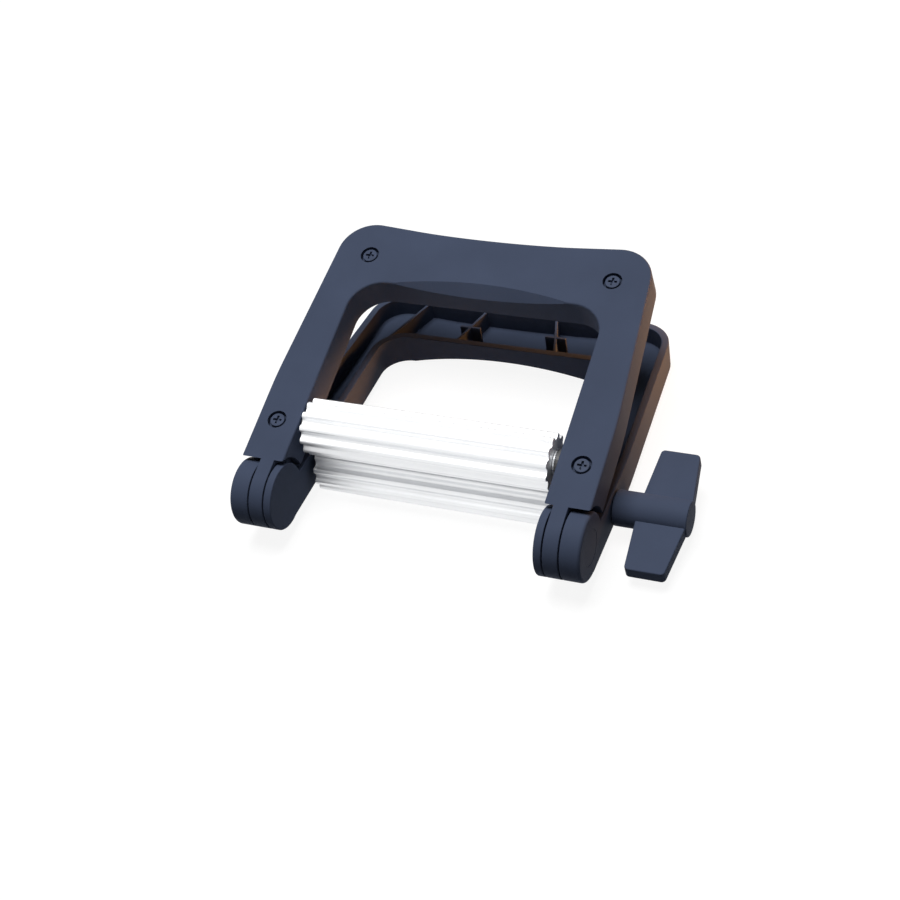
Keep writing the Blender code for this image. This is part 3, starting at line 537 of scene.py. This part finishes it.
def scoop_cutter(sizes, edge, half, depth, height, fullness):
    """A slanted slice over the crossbar's inner edge, from a flat arc to a half ellipse."""
    inwards = Vector((0, height, -math.copysign(depth, edge.z))).normalized()
    bite = depth * inwards.y
    across = bite / fullness
    offset = across - bite
    along = half / math.sqrt(1 - (offset / across) ** 2)
    cutter = add_rod("scoop", 1, -sizes.slice_half, sizes.slice_half, sides=720)
    with shaping(cutter):
        bpy.ops.transform.resize(value=(along, across, 1), center_override=(0, 0, 0))
        cut_plane((0, offset - sizes.slice_front, 0), (0, 1, 0), clear_inner=True, fill=True)
        for hand in (-1, 1):
            bpy.ops.mesh.select_all(action="SELECT")
            cut_plane((hand * (half + sizes.slice_end), 0, 0), (hand, 0, 0),
                      clear_outer=True, fill=True)
    across_edge = Vector((1, 0, 0)).cross(inwards)
    turn = Matrix(((1, 0, 0), inwards, across_edge)).transposed().to_4x4()
    return place(cutter, Matrix.Translation(edge - inwards * offset) @ turn)


def finish_arm(arm, context, body, node_name, tilt_frame):
    """Puts a modelled arm at its place and dresses its node."""
    tidy_mesh(arm)
    place(arm, tilt_frame)
    smooth(arm)
    finish_piece(arm, body, "arm_plastic", moulded(context, "arm"), node_name)


class SQUEEZER_OT_upper_arm(bpy.types.Operator):
    """Model the upper arm with its tongues, bush seats and screw recesses"""
    bl_idname = "squeezer.upper_arm"
    bl_label = "Upper Arm"

    def execute(self, context):
        sizes, knuckle = context.scene.squeezer_arms, context.scene.squeezer_knuckles
        roller, screw = context.scene.squeezer_rollers, context.scene.squeezer_screws
        arm = draw_arm("upper_arm_dressed", sizes, side=1, reach=sizes.upper_reach,
                       crossbar=sizes.upper_crossbar, dip=sizes.upper_dip,
                       leg_end=sizes.upper_leg_end, inner_round=sizes.upper_round)
        open_tray(arm, sizes, 1, knuckle.shoulder + knuckle.shoulder_wall, sizes.face_wall)
        reach = sizes.leg_outer + OVERRUN
        carve(arm, add_rod_along_x("relief", knuckle.shoulder, (-reach, reach), sides=144))
        for hand in (-1, 1):
            join(arm, tongue(sizes, knuckle, hand))
        axis = UPPER_FRAME.inverted() @ UPPER_AXIS
        for hand in (-1, 1):
            ends = (hand * sizes.leg_inner, hand * sizes.leg_outer)
            carve(arm, add_rod_along_x("bore", knuckle.pin + knuckle.pin_play, ends, sides=48))
            ends = (hand * (sizes.leg_inner - OVERRUN), hand * (sizes.leg_inner + 1.5 * sizes.wall))
            carve(arm, add_rod_along_x("seat", roller.seat, ends, axis.y, axis.z, sides=64))
        for x, y in screw_places(screw):
            recess = add_rod("recess", screw.recess, sizes.face - screw.recess_depth,
                             sizes.face + OVERRUN)
            carve(arm, place(recess, Matrix.Translation((x, y, 0))))
        edge, scoop = Vector((0, sizes.upper_reach, sizes.face)), context.scene.squeezer_scoops
        carve(arm, scoop_cutter(scoop, edge, scoop.upper_half, scoop.upper_depth,
                                scoop.upper_height, scoop.upper_fullness))
        finish_arm(arm, context, "upper_arm", "upper_arm_shell", UPPER_FRAME)
        return {"FINISHED"}


def tongue(sizes, knuckle, hand):
    """A round-ended hinge tongue, flush with the arm's face."""
    ends = sorted((hand * knuckle.tongue_inner, hand * knuckle.tongue_outer))
    block = add_block("tongue", (ends[0], 0, rim_height(sizes, 0) + knuckle.tongue_step),
                      (ends[1], knuckle.shoulder + knuckle.tongue_root, sizes.face))
    with shaping(block):
        pick("EDGE", lambda edge: level(edge, X)
             and every(edge, lambda co: near(co.z, sizes.face)))
        bevel(knuckle.seam_round, segments=3)
    join(block, round_end("tongue_end", sizes.face, ends, knuckle.seam_round, knuckle.seam_round))
    return block


def round_end(name, radius, ends, first_round, last_round):
    """A disc about the hinge axis with its two rims rounded."""
    disc = add_rod_along_x(name, radius, ends, sides=160)
    with shaping(disc):
        round_rim(X, ends[0], first_round, segments=4)
        round_rim(X, ends[1], last_round, segments=4)
    return disc


def screw_places(screw):
    places = ((screw.bar_x, screw.bar_y), (screw.leg_x, screw.leg_y))
    return [(hand * x, y) for x, y in places for hand in (-1, 1)]


class SQUEEZER_OT_lower_arm(bpy.types.Operator):
    """Model the lower arm with its ribbed tray and hinge ears"""
    bl_idname = "squeezer.lower_arm"
    bl_label = "Lower Arm"

    def execute(self, context):
        sizes, knuckle = context.scene.squeezer_arms, context.scene.squeezer_knuckles
        roller, ribs = context.scene.squeezer_rollers, context.scene.squeezer_ribs
        arm = draw_arm("lower_arm_dressed", sizes, side=-1, reach=sizes.lower_reach,
                       crossbar=sizes.lower_crossbar, dip=sizes.lower_dip,
                       leg_end=0.0, inner_round=sizes.lower_round)
        open_tray(arm, sizes, -1, knuckle.slot_end + knuckle.slot_wall, sizes.tray_floor)
        for start, end in rib_lines(sizes, ribs):
            join(arm, rib(sizes, ribs, start, end))
        for hand in (-1, 1):
            shape_knuckle(arm, sizes, knuckle, hand)
        axis = LOWER_FRAME.inverted() @ LOWER_AXIS
        for ends in ((-sizes.leg_inner - 2 * sizes.wall, OVERRUN - sizes.leg_inner),
                     (sizes.leg_inner - OVERRUN, sizes.leg_outer + OVERRUN)):
            carve(arm, add_rod_along_x("seat", roller.seat, ends, axis.y, axis.z, sides=64))
        edge, scoop = Vector((0, sizes.lower_reach, -sizes.face)), context.scene.squeezer_scoops
        carve(arm, scoop_cutter(scoop, edge, scoop.lower_half, scoop.lower_depth,
                                scoop.lower_height, scoop.lower_fullness))
        finish_arm(arm, context, "lower_arm", "lower_arm", LOWER_FRAME)
        return {"FINISHED"}


def shape_knuckle(arm, sizes, knuckle, hand):
    """Slots a leg's end for the tongue, rounds its two ears and bores them for the pin."""
    inner, outer = knuckle.tongue_inner - knuckle.gap, knuckle.tongue_outer + knuckle.gap
    ends = sorted((hand * inner, hand * outer))
    beyond = 2 * sizes.face
    carve(arm, add_block("slot", (ends[0], -beyond, -beyond), (ends[1], knuckle.slot_end, beyond)))
    for near_side, far_side, rounding in (
            (inner, sizes.leg_inner + CLOSE, sizes.rim_round),
            (outer, sizes.leg_outer - CLOSE, knuckle.ear_round)):
        ends = (hand * near_side, hand * far_side)
        join(arm, round_end("ear", sizes.face - CLOSE, ends, knuckle.seam_round, rounding))
    head_middle = sizes.leg_outer - knuckle.pin_head_depth / 2
    ends = (hand * (sizes.leg_inner + knuckle.pin_wall), hand * head_middle)
    carve(arm, add_rod_along_x("bore", knuckle.pin + knuckle.pin_play, ends, sides=48))
    seat = sizes.leg_outer - 2 * CLOSE - knuckle.pin_head_depth - knuckle.pin_seat
    ends = (hand * seat, hand * (sizes.leg_outer + OVERRUN))
    carve(arm, add_rod_along_x("pin_seat", knuckle.pin_head + knuckle.pin_gap, ends))


def rib_lines(sizes, ribs):
    """Start and end of each rib in the lower tray: two crossed pairs and two corner ribs."""
    inner_y = sizes.lower_reach + sizes.wall / 2
    outer_y = sizes.lower_reach + sizes.lower_crossbar - sizes.lower_dip - sizes.wall / 2
    half = Vector((ribs.cross_half, 0))
    lines = []
    for hand in (-1, 1):
        outer, inner = Vector((hand * ribs.outer_x, outer_y)), Vector((hand * ribs.inner_x, inner_y))
        middle = (outer + inner) / 2
        lines.append((outer, inner))
        lines.append((middle - half, middle + half))
        lines.append((Vector((hand * ribs.corner_outer_x, outer_y + sizes.lower_dip / 2)),
                      Vector((hand * ribs.corner_inner_x, sizes.lower_reach - ribs.corner_reach))))
    return lines


def rib(sizes, ribs, start, end):
    """A thin upright wall with a rounded top."""
    along = end - start
    low = -sizes.face + sizes.tray_floor - ribs.sink
    high = -rim_height(sizes, sizes.lower_reach + sizes.lower_crossbar)
    half = ribs.thickness / 2
    wall = add_block("rib", (0, -half, low), (along.length, half, high))
    with shaping(wall):
        round_rim(Z, high, ribs.top_round, segments=2)
    turn = math.atan2(along.y, along.x)
    return place(wall, Matrix.Translation((*start, 0)) @ Matrix.Rotation(turn, 4, "Z"))


# Rollers, key and small parts


class SQUEEZER_OT_rollers(bpy.types.Operator):
    """Model one fluted roller and copy it to the other arm"""
    bl_idname = "squeezer.rollers"
    bl_label = "Rollers"

    def execute(self, context):
        sizes = context.scene.squeezer_rollers
        roller = fluted_roller("lower_roller_dressed", sizes)
        upper = copy_of(roller, "upper_roller_dressed")
        nip = math.atan2(NIP.z, NIP.y) - math.pi / 2
        step = math.pi / sizes.flutes
        place(roller, Matrix.Translation(LOWER_AXIS) @ Matrix.Rotation(nip, 4, "X") @ ALONG_X)
        place(upper, Matrix.Translation(UPPER_AXIS) @ Matrix.Rotation(nip + step, 4, "X") @ ALONG_X)
        for piece, body in ((roller, "lower_roller"), (upper, "upper_roller")):
            smooth(piece, degrees=40)
            finish_piece(piece, body, "roller_aluminium", extruded(context), body)
        return {"FINISHED"}


def fluted_roller(name, sizes):
    """A roller about z, with a flute's tip towards +y."""
    rest_everything()
    bpy.ops.mesh.primitive_circle_add(vertices=FLUTE_STEPS * sizes.flutes, radius=sizes.radius,
                                      fill_type="NGON", location=(0, 0, -sizes.half))
    roller = settle(name)
    pitch = 2 * math.pi / sizes.flutes

    def steps_away(vert):
        turn = math.atan2(vert.co.x, vert.co.y) / pitch * FLUTE_STEPS
        return round(abs(turn - FLUTE_STEPS * round(turn / FLUTE_STEPS)))

    with shaping(roller):
        for step, share in FLUTE_PROFILE.items():
            pick("VERT", lambda vert: steps_away(vert) == step)
            size = 1 - share * sizes.depth / sizes.radius
            bpy.ops.transform.resize(value=(size, size, 1), center_override=(0, 0, -sizes.half))
        bpy.ops.mesh.select_all(action="SELECT")
        pull((0, 0, 2 * sizes.half))
        pick("EDGE", lambda edge: level(edge, Z))
        bevel(sizes.end_round, segments=2)
    tidy_mesh(roller)
    reach = sizes.half + OVERRUN
    carve(roller, add_rod("bore", sizes.hexagon, -reach, reach, sides=6))
    return roller


class SQUEEZER_OT_key(bpy.types.Operator):
    """Model the wing key"""
    bl_idname = "squeezer.key"
    bl_label = "Wing Key"

    def execute(self, context):
        sizes = context.scene.squeezer_key
        key = key_blade("wing_key_dressed", sizes)
        hub_end = sizes.outer + sizes.hub_end
        hub = add_rod_along_x("hub", sizes.hub, (sizes.hub_start, hub_end))
        with shaping(hub):
            round_rim(X, hub_end, sizes.edge, segments=3)
            round_rim(X, sizes.hub_start, sizes.edge, segments=3)
        join(key, hub)
        ends = (sizes.hub_start - OVERRUN, sizes.socket_end)
        carve(key, add_rod_along_x("socket", sizes.socket, ends))
        middle = Matrix.Translation((HINGE.x, LOWER_AXIS.y, LOWER_AXIS.z))
        tidy_mesh(key)
        place(key, middle @ Matrix.Rotation(LOWER_TILT + sizes.tilt, 4, "X"))
        smooth(key)
        finish_piece(key, "lower_roller", "key_plastic", moulded(context, "key"), "wing_key")
        return {"FINISHED"}


def key_blade(name, sizes):
    """The key's flat blade, with its wings narrowing towards their tips."""
    half, inner = sizes.span / 2, sizes.outer - sizes.root
    blade = add_block(name, (inner, -half, -sizes.thickness / 2),
                      (sizes.outer, half, sizes.thickness / 2))
    narrowing = sizes.root - sizes.setback - sizes.tip
    with shaping(blade):
        cut_plane((0, -sizes.hub, 0), (0, 1, 0))
        bpy.ops.mesh.select_all(action="SELECT")
        cut_plane((0, sizes.hub, 0), (0, 1, 0))
        slide(lambda co: near(abs(co.y), half) and near(co.x, sizes.outer), (-sizes.setback, 0, 0))
        slide(lambda co: near(abs(co.y), half) and near(co.x, inner), (narrowing, 0, 0))
        pick("EDGE", lambda edge: level(edge, X)
             and every(edge, lambda co: near(abs(co.y), half)))
        bevel(sizes.corner, segments=5)
        pick("EDGE", lambda edge: edge.calc_face_angle(0) > SHARP
             and every(edge, lambda co: near(abs(co.z), sizes.thickness / 2)))
        bevel(sizes.edge, segments=3)
    return blade


class SQUEEZER_OT_screws(bpy.types.Operator):
    """Model one cover screw and copy it to the other places"""
    bl_idname = "squeezer.screws"
    bl_label = "Cover Screws"

    def execute(self, context):
        sizes = context.scene.squeezer_screws
        top = context.scene.squeezer_arms.face - sizes.sink
        screw = add_rod("cover_screw_1_dressed", sizes.head, top - sizes.head_depth, top, sides=64)
        with shaping(screw):
            round_rim(Z, top, sizes.head_round, segments=3)
            draw_shank(sizes.head - sizes.shank, sizes.shank_length)
        for turn in (0, math.pi / 2):
            slot = add_block("slot", (-sizes.cross_half, -sizes.cross_width, top - sizes.cross_depth),
                             (sizes.cross_half, sizes.cross_width, top + OVERRUN))
            carve(screw, place(slot, Matrix.Rotation(turn, 4, "Z")))
        tidy_mesh(screw)
        smooth(screw)
        places = screw_places(sizes)
        screws = [screw] + [copy_of(screw, "cover_screw_%d_dressed" % number)
                            for number in range(2, len(places) + 1)]
        for number, (piece, (x, y)) in enumerate(zip(screws, places), 1):
            place(piece, UPPER_FRAME @ Matrix.Translation((x, y, 0)))
            finish_piece(piece, "upper_arm", "screw_steel", blackened(context),
                         "cover_screw_%d" % number)
        return {"FINISHED"}


class SQUEEZER_OT_hinge_pins(bpy.types.Operator):
    """Model one headed hinge pin and copy it to the other side"""
    bl_idname = "squeezer.hinge_pins"
    bl_label = "Hinge Pins"

    def execute(self, context):
        sizes, arms = context.scene.squeezer_knuckles, context.scene.squeezer_arms
        head = arms.leg_outer - sizes.pin_sink
        collar = head - sizes.pin_head_depth
        end = arms.leg_inner + sizes.pin_wall + sizes.pin_play
        pin = add_rod("hinge_pin_right_dressed", sizes.pin_head, collar, head)
        with shaping(pin):
            round_rim(Z, head, sizes.pin_head_round, segments=3)
            draw_shank(sizes.pin_head - sizes.pin, collar - end)
        tidy_mesh(pin)
        smooth(pin)
        left = copy_of(pin, "hinge_pin_left_dressed")
        place(pin, LOWER_FRAME @ ALONG_X)
        place(left, LOWER_FRAME @ Matrix.Rotation(math.pi, 4, "Y") @ ALONG_X)
        for piece, node_name in ((pin, "hinge_pin_right"), (left, "hinge_pin_left")):
            finish_piece(piece, "lower_arm", "arm_plastic", moulded(context, "key"), node_name)
        return {"FINISHED"}


class SQUEEZER_OT_small_parts(bpy.types.Operator):
    """Give the carried-over axles, bushes, washers and cover their finishes"""
    bl_idname = "squeezer.small_parts"
    bl_label = "Small Parts"

    def execute(self, context):
        finishes = {
            "shaft_steel": turned_steel(context),
            "screw_steel": blackened(context),
            "bush_acetal": acetal(context),
            "cover_plastic": moulded(context, "cover"),
        }
        for part in frame["record"]["subparts"]:
            carried = frame["nodes"][part["node"]]
            finish = finishes.get(part["material_slot"])
            if finish:
                carried.data.materials.clear()
                carried.data.materials.append(finish)
        return {"FINISHED"}


# Finishes


def fill(shader, inputs):
    for name, value in inputs.items():
        shader.inputs[name].default_value = value


def node(tree, kind, inputs=None, **settings):
    """A node with its settings and its unwired inputs."""
    made = tree.nodes.new(kind)
    for name, value in settings.items():
        setattr(made, name, value)
    fill(made, inputs or {})
    return made


def wire(tree, source, output, target, name):
    tree.links.new(source.outputs[output], target.inputs[name])


def new_group(name, values, outputs):
    """A node group with a vector input, value inputs and outputs, and its two end nodes."""
    tree = bpy.data.node_groups.new(name, "ShaderNodeTree")
    tree.interface.new_socket(name="Vector", in_out="INPUT", socket_type="NodeSocketVector")
    for socket_name, default in values.items():
        socket = tree.interface.new_socket(name=socket_name, in_out="INPUT",
                                           socket_type="NodeSocketFloat")
        socket.default_value = default
    for socket_name in outputs:
        tree.interface.new_socket(name=socket_name, in_out="OUTPUT", socket_type="NodeSocketFloat")
    return tree, tree.nodes.new("NodeGroupInput"), tree.nodes.new("NodeGroupOutput")


def grain_group():
    """Fine moulded grain over slow cloudy patches: a tone, a gloss and a height."""
    name = "moulding_grain"
    if name in bpy.data.node_groups:
        return bpy.data.node_groups[name]
    tree, inside, outside = new_group(name, {"Grain Scale": 2600, "Patch Scale": 45},
                                      ("Tone", "Gloss", "Height"))
    grain = node(tree, "ShaderNodeTexNoise", {"Detail": 3, "Roughness": 0.6})
    pits = node(tree, "ShaderNodeTexVoronoi", {"Randomness": 1}, feature="SMOOTH_F1")
    patch = node(tree, "ShaderNodeTexNoise", {"Detail": 4, "Roughness": 0.55})
    height = node(tree, "ShaderNodeMath", {1: 0.5}, operation="MULTIPLY_ADD")
    gloss = node(tree, "ShaderNodeMath", {1: 0.35}, operation="MULTIPLY_ADD")
    for texture, scale in ((grain, "Grain Scale"), (pits, "Grain Scale"), (patch, "Patch Scale")):
        wire(tree, inside, "Vector", texture, "Vector")
        wire(tree, inside, scale, texture, "Scale")
    for link in ((pits, "Distance", height, 0), (grain, "Fac", height, 2), (grain, "Fac", gloss, 0),
                 (patch, "Fac", gloss, 2), (patch, "Fac", outside, "Tone"),
                 (gloss, "Value", outside, "Gloss"), (height, "Value", outside, "Height")):
        wire(tree, *link)
    return tree


def line_group():
    """Fine lines along x, as an extrusion or a turning tool leaves them."""
    name = "drawn_lines"
    if name in bpy.data.node_groups:
        return bpy.data.node_groups[name]
    tree, inside, outside = new_group(name, {"Line Scale": 900}, ("Lines", "Clouds"))
    stretch = node(tree, "ShaderNodeMapping", {"Scale": (0.012, 1, 1)})
    lines = node(tree, "ShaderNodeTexNoise", {"Detail": 5, "Roughness": 0.7})
    clouds = node(tree, "ShaderNodeTexNoise", {"Scale": 110, "Detail": 3})
    for link in ((inside, "Vector", stretch, "Vector"), (stretch, "Vector", lines, "Vector"),
                 (inside, "Line Scale", lines, "Scale"), (inside, "Vector", clouds, "Vector"),
                 (lines, "Fac", outside, "Lines"), (clouds, "Fac", outside, "Clouds")):
        wire(tree, *link)
    return tree


def start_finish(name):
    material = bpy.data.materials.new(name)
    material.use_nodes = True
    return material, material.node_tree, material.node_tree.nodes["Principled BSDF"]


def textured(name, group, outputs, context, part, spread, rough, relief, scales=None):
    """A material whose colour, roughness and bump follow a group's three outputs.

    The shade varies by the share spread; relief is the bump's distance and strength.
    """
    material, tree, shader = start_finish(name)
    coordinates = node(tree, "ShaderNodeTexCoord")
    texture = node(tree, "ShaderNodeGroup", scales, node_tree=group)
    wire(tree, coordinates, "Object", texture, "Vector")
    tone, gloss, height = outputs
    shade = getattr(context.scene.squeezer_finishes, part)
    ramp = node(tree, "ShaderNodeValToRGB")
    for element, position, share in zip(ramp.color_ramp.elements, TONE_SPAN, (1 - spread, 1 + spread)):
        element.position = position
        element.color = (*[min(1, channel * share) for channel in shade], 1)
    wire(tree, texture, tone, ramp, "Fac")
    wire(tree, ramp, "Color", shader, "Base Color")
    span = node(tree, "ShaderNodeMapRange", {"From Min": GLOSS_SPAN[0], "From Max": GLOSS_SPAN[1],
                                             "To Min": rough[0], "To Max": rough[1]})
    wire(tree, texture, gloss, span, "Value")
    wire(tree, span, "Result", shader, "Roughness")
    bump = node(tree, "ShaderNodeBump", {"Distance": relief[0], "Strength": relief[1]})
    wire(tree, texture, height, bump, "Height")
    wire(tree, bump, "Normal", shader, "Normal")
    return material, shader


def grained(name, context, part, sheen, **look):
    """Matt plastic or blackened steel under the moulding grain."""
    if name in bpy.data.materials:
        return bpy.data.materials[name]
    material, shader = textured(name, grain_group(), ("Tone", "Gloss", "Height"), context, part,
                                **look)
    fill(shader, {"Specular IOR Level": sheen})
    return material


def drawn_metal(name, context, part, **look):
    """Bare metal with fine lines along x."""
    if name in bpy.data.materials:
        return bpy.data.materials[name]
    material, shader = textured(name, line_group(), ("Clouds", "Lines", "Lines"), context, part,
                                relief=(0.00002, 0.25), **look)
    fill(shader, {"Metallic": 1})
    return material


def moulded(context, part):
    """Moulded plastic with a fine matt grain."""
    return grained(part + "_moulding", context, part, sheen=0.025, spread=0.07, rough=(0.46, 0.60),
                   relief=(0.00003, 0.35))


def blackened(context):
    """Blackened steel, a little lighter where the finish has thinned."""
    return grained("screw_blackening", context, "screw", sheen=0.08, spread=0.18, rough=(0.34, 0.50),
                   relief=(0.00002, 0.3), scales={"Grain Scale": 4200, "Patch Scale": 600})


def acetal(context):
    """Bearing plastic, faintly waxy."""
    return grained("bush_moulding", context, "acetal", sheen=0.5, spread=0.06, rough=(0.38, 0.52),
                   relief=(0.00002, 0.2), scales={"Grain Scale": 3000, "Patch Scale": 300})


def extruded(context):
    return drawn_metal("roller_extrusion", context, "aluminium", spread=0.02, rough=(0.38, 0.52))


def turned_steel(context):
    return drawn_metal("shaft_turning", context, "steel", spread=0.05, rough=(0.22, 0.38))


# Stage


class SQUEEZER_OT_stage(bpy.types.Operator):
    """Set up the floor, the studio light and the camera"""
    bl_idname = "squeezer.stage"
    bl_label = "Stage"

    def execute(self, context):
        scene, settings = context.scene, context.scene.squeezer_stage
        scene.view_settings.view_transform = "Standard"
        add_floor(settings, scene.squeezer_finishes.floor)
        light_world(scene, settings)
        add_lamp("overhead_lamp", OVERHEAD_PLACE, OVERHEAD_TARGET, settings.overhead_size,
                 settings.overhead_power, (1, 1, 1))
        warm = add_lamp("warm_lamp", WARM_PLACE, WARM_TARGET, settings.warm_size,
                        settings.warm_power, settings.warm_tint)
        warm.data.spread = settings.warm_spread
        warm.visible_camera = False
        camera = bpy.data.cameras.new("photo_camera")
        camera.lens = settings.lens
        camera.clip_start = NEAREST
        scene.camera = stand_for(camera, CAMERA_PLACE, [math.radians(turn) for turn in CAMERA_TURN])
        return {"FINISHED"}


def stand_for(data, location, turn):
    """An object that holds a lamp or a camera."""
    stand = bpy.data.objects.new(data.name, data)
    bpy.context.scene.collection.objects.link(stand)
    stand.location = location
    stand.rotation_euler = turn
    return stand


def add_lamp(name, location, target, size, watts, colour):
    lamp = bpy.data.lights.new(name, "AREA")
    lamp.size = size
    lamp.energy = watts
    lamp.color = colour
    turn = (Vector(location) - Vector(target)).to_track_quat("Z", "Y").to_euler()
    return stand_for(lamp, location, turn)


def seen_directly(tree):
    """1 for camera, glossy and transmission rays, which show the background."""
    path = node(tree, "ShaderNodeLightPath")
    mirrored = node(tree, "ShaderNodeMath", operation="MAXIMUM")
    seen = node(tree, "ShaderNodeMath", operation="MAXIMUM")
    wire(tree, path, "Is Glossy Ray", mirrored, 0)
    wire(tree, path, "Is Transmission Ray", mirrored, 1)
    wire(tree, path, "Is Camera Ray", seen, 0)
    wire(tree, mirrored, "Value", seen, 1)
    return seen


def add_floor(settings, shade):
    rest_everything()
    bpy.ops.mesh.primitive_plane_add(size=FLOOR_SIZE, location=(0, 0, CAD_BOX[0].z - FLOOR_GAP))
    floor = settle("studio_floor")
    material, tree, shader = start_finish("floor_paper")
    fill(shader, {"Base Color": (*shade, 1), "Roughness": 0.9, "Specular IOR Level": 0.1,
                  "Emission Color": (1, 1, 1, 1)})
    glow = node(tree, "ShaderNodeMath", {1: settings.glow}, operation="MULTIPLY")
    wire(tree, seen_directly(tree), "Value", glow, 0)
    wire(tree, glow, "Value", shader, "Emission Strength")
    floor.data.materials.append(material)


def light_world(scene, settings):
    """White where it is seen directly, and a weak light on the object."""
    world = bpy.data.worlds.new("studio")
    scene.world = world
    world.use_nodes = True
    tree = world.node_tree
    background = tree.nodes["Background"]
    fill(background, {"Color": (1, 1, 1, 1)})
    strength = node(tree, "ShaderNodeMapRange", {"To Min": settings.ambient, "To Max": 1.0})
    wire(tree, seen_directly(tree), "Value", strength, "Value")
    wire(tree, strength, "Result", background, "Strength")


# Panel


class SQUEEZER_PT_parts(bpy.types.Panel):
    """Lists the squeezer's pieces"""
    bl_idname = "SQUEEZER_PT_parts"
    bl_label = "Tube Squeezer"
    bl_space_type = "VIEW_3D"
    bl_region_type = "UI"
    bl_category = "Squeezer"

    def draw(self, context):
        for operator in OPERATORS:
            self.layout.operator(operator.bl_idname)
        for name in GROUPS:
            group = getattr(context.scene, name)
            box = self.layout.box()
            for setting in group.__annotations__:
                box.prop(group, setting)


GROUPS = {
    "squeezer_arms": ArmSizes,
    "squeezer_scoops": ScoopSizes,
    "squeezer_ribs": RibSizes,
    "squeezer_knuckles": KnuckleSizes,
    "squeezer_rollers": RollerSizes,
    "squeezer_key": KeySizes,
    "squeezer_screws": ScrewSizes,
    "squeezer_finishes": Finishes,
    "squeezer_stage": StageSettings,
}

OPERATORS = (
    SQUEEZER_OT_lower_arm,
    SQUEEZER_OT_upper_arm,
    SQUEEZER_OT_rollers,
    SQUEEZER_OT_key,
    SQUEEZER_OT_screws,
    SQUEEZER_OT_hinge_pins,
    SQUEEZER_OT_small_parts,
    SQUEEZER_OT_stage,
)


def register():
    for name, group in GROUPS.items():
        bpy.utils.register_class(group)
        setattr(bpy.types.Scene, name, bpy.props.PointerProperty(type=group))
    for operator in OPERATORS:
        bpy.utils.register_class(operator)
    bpy.utils.register_class(SQUEEZER_PT_parts)


def unregister():
    bpy.utils.unregister_class(SQUEEZER_PT_parts)
    for operator in reversed(OPERATORS):
        bpy.utils.unregister_class(operator)
    for name, group in reversed(GROUPS.items()):
        delattr(bpy.types.Scene, name)
        bpy.utils.unregister_class(group)


def main():
    register()
    bpy.ops.squeezer.lower_arm()
    bpy.ops.squeezer.upper_arm()
    bpy.ops.squeezer.rollers()
    bpy.ops.squeezer.key()
    bpy.ops.squeezer.screws()
    bpy.ops.squeezer.hinge_pins()
    bpy.ops.squeezer.small_parts()
    bpy.ops.squeezer.stage()


if __name__ == "__main__":
    main()
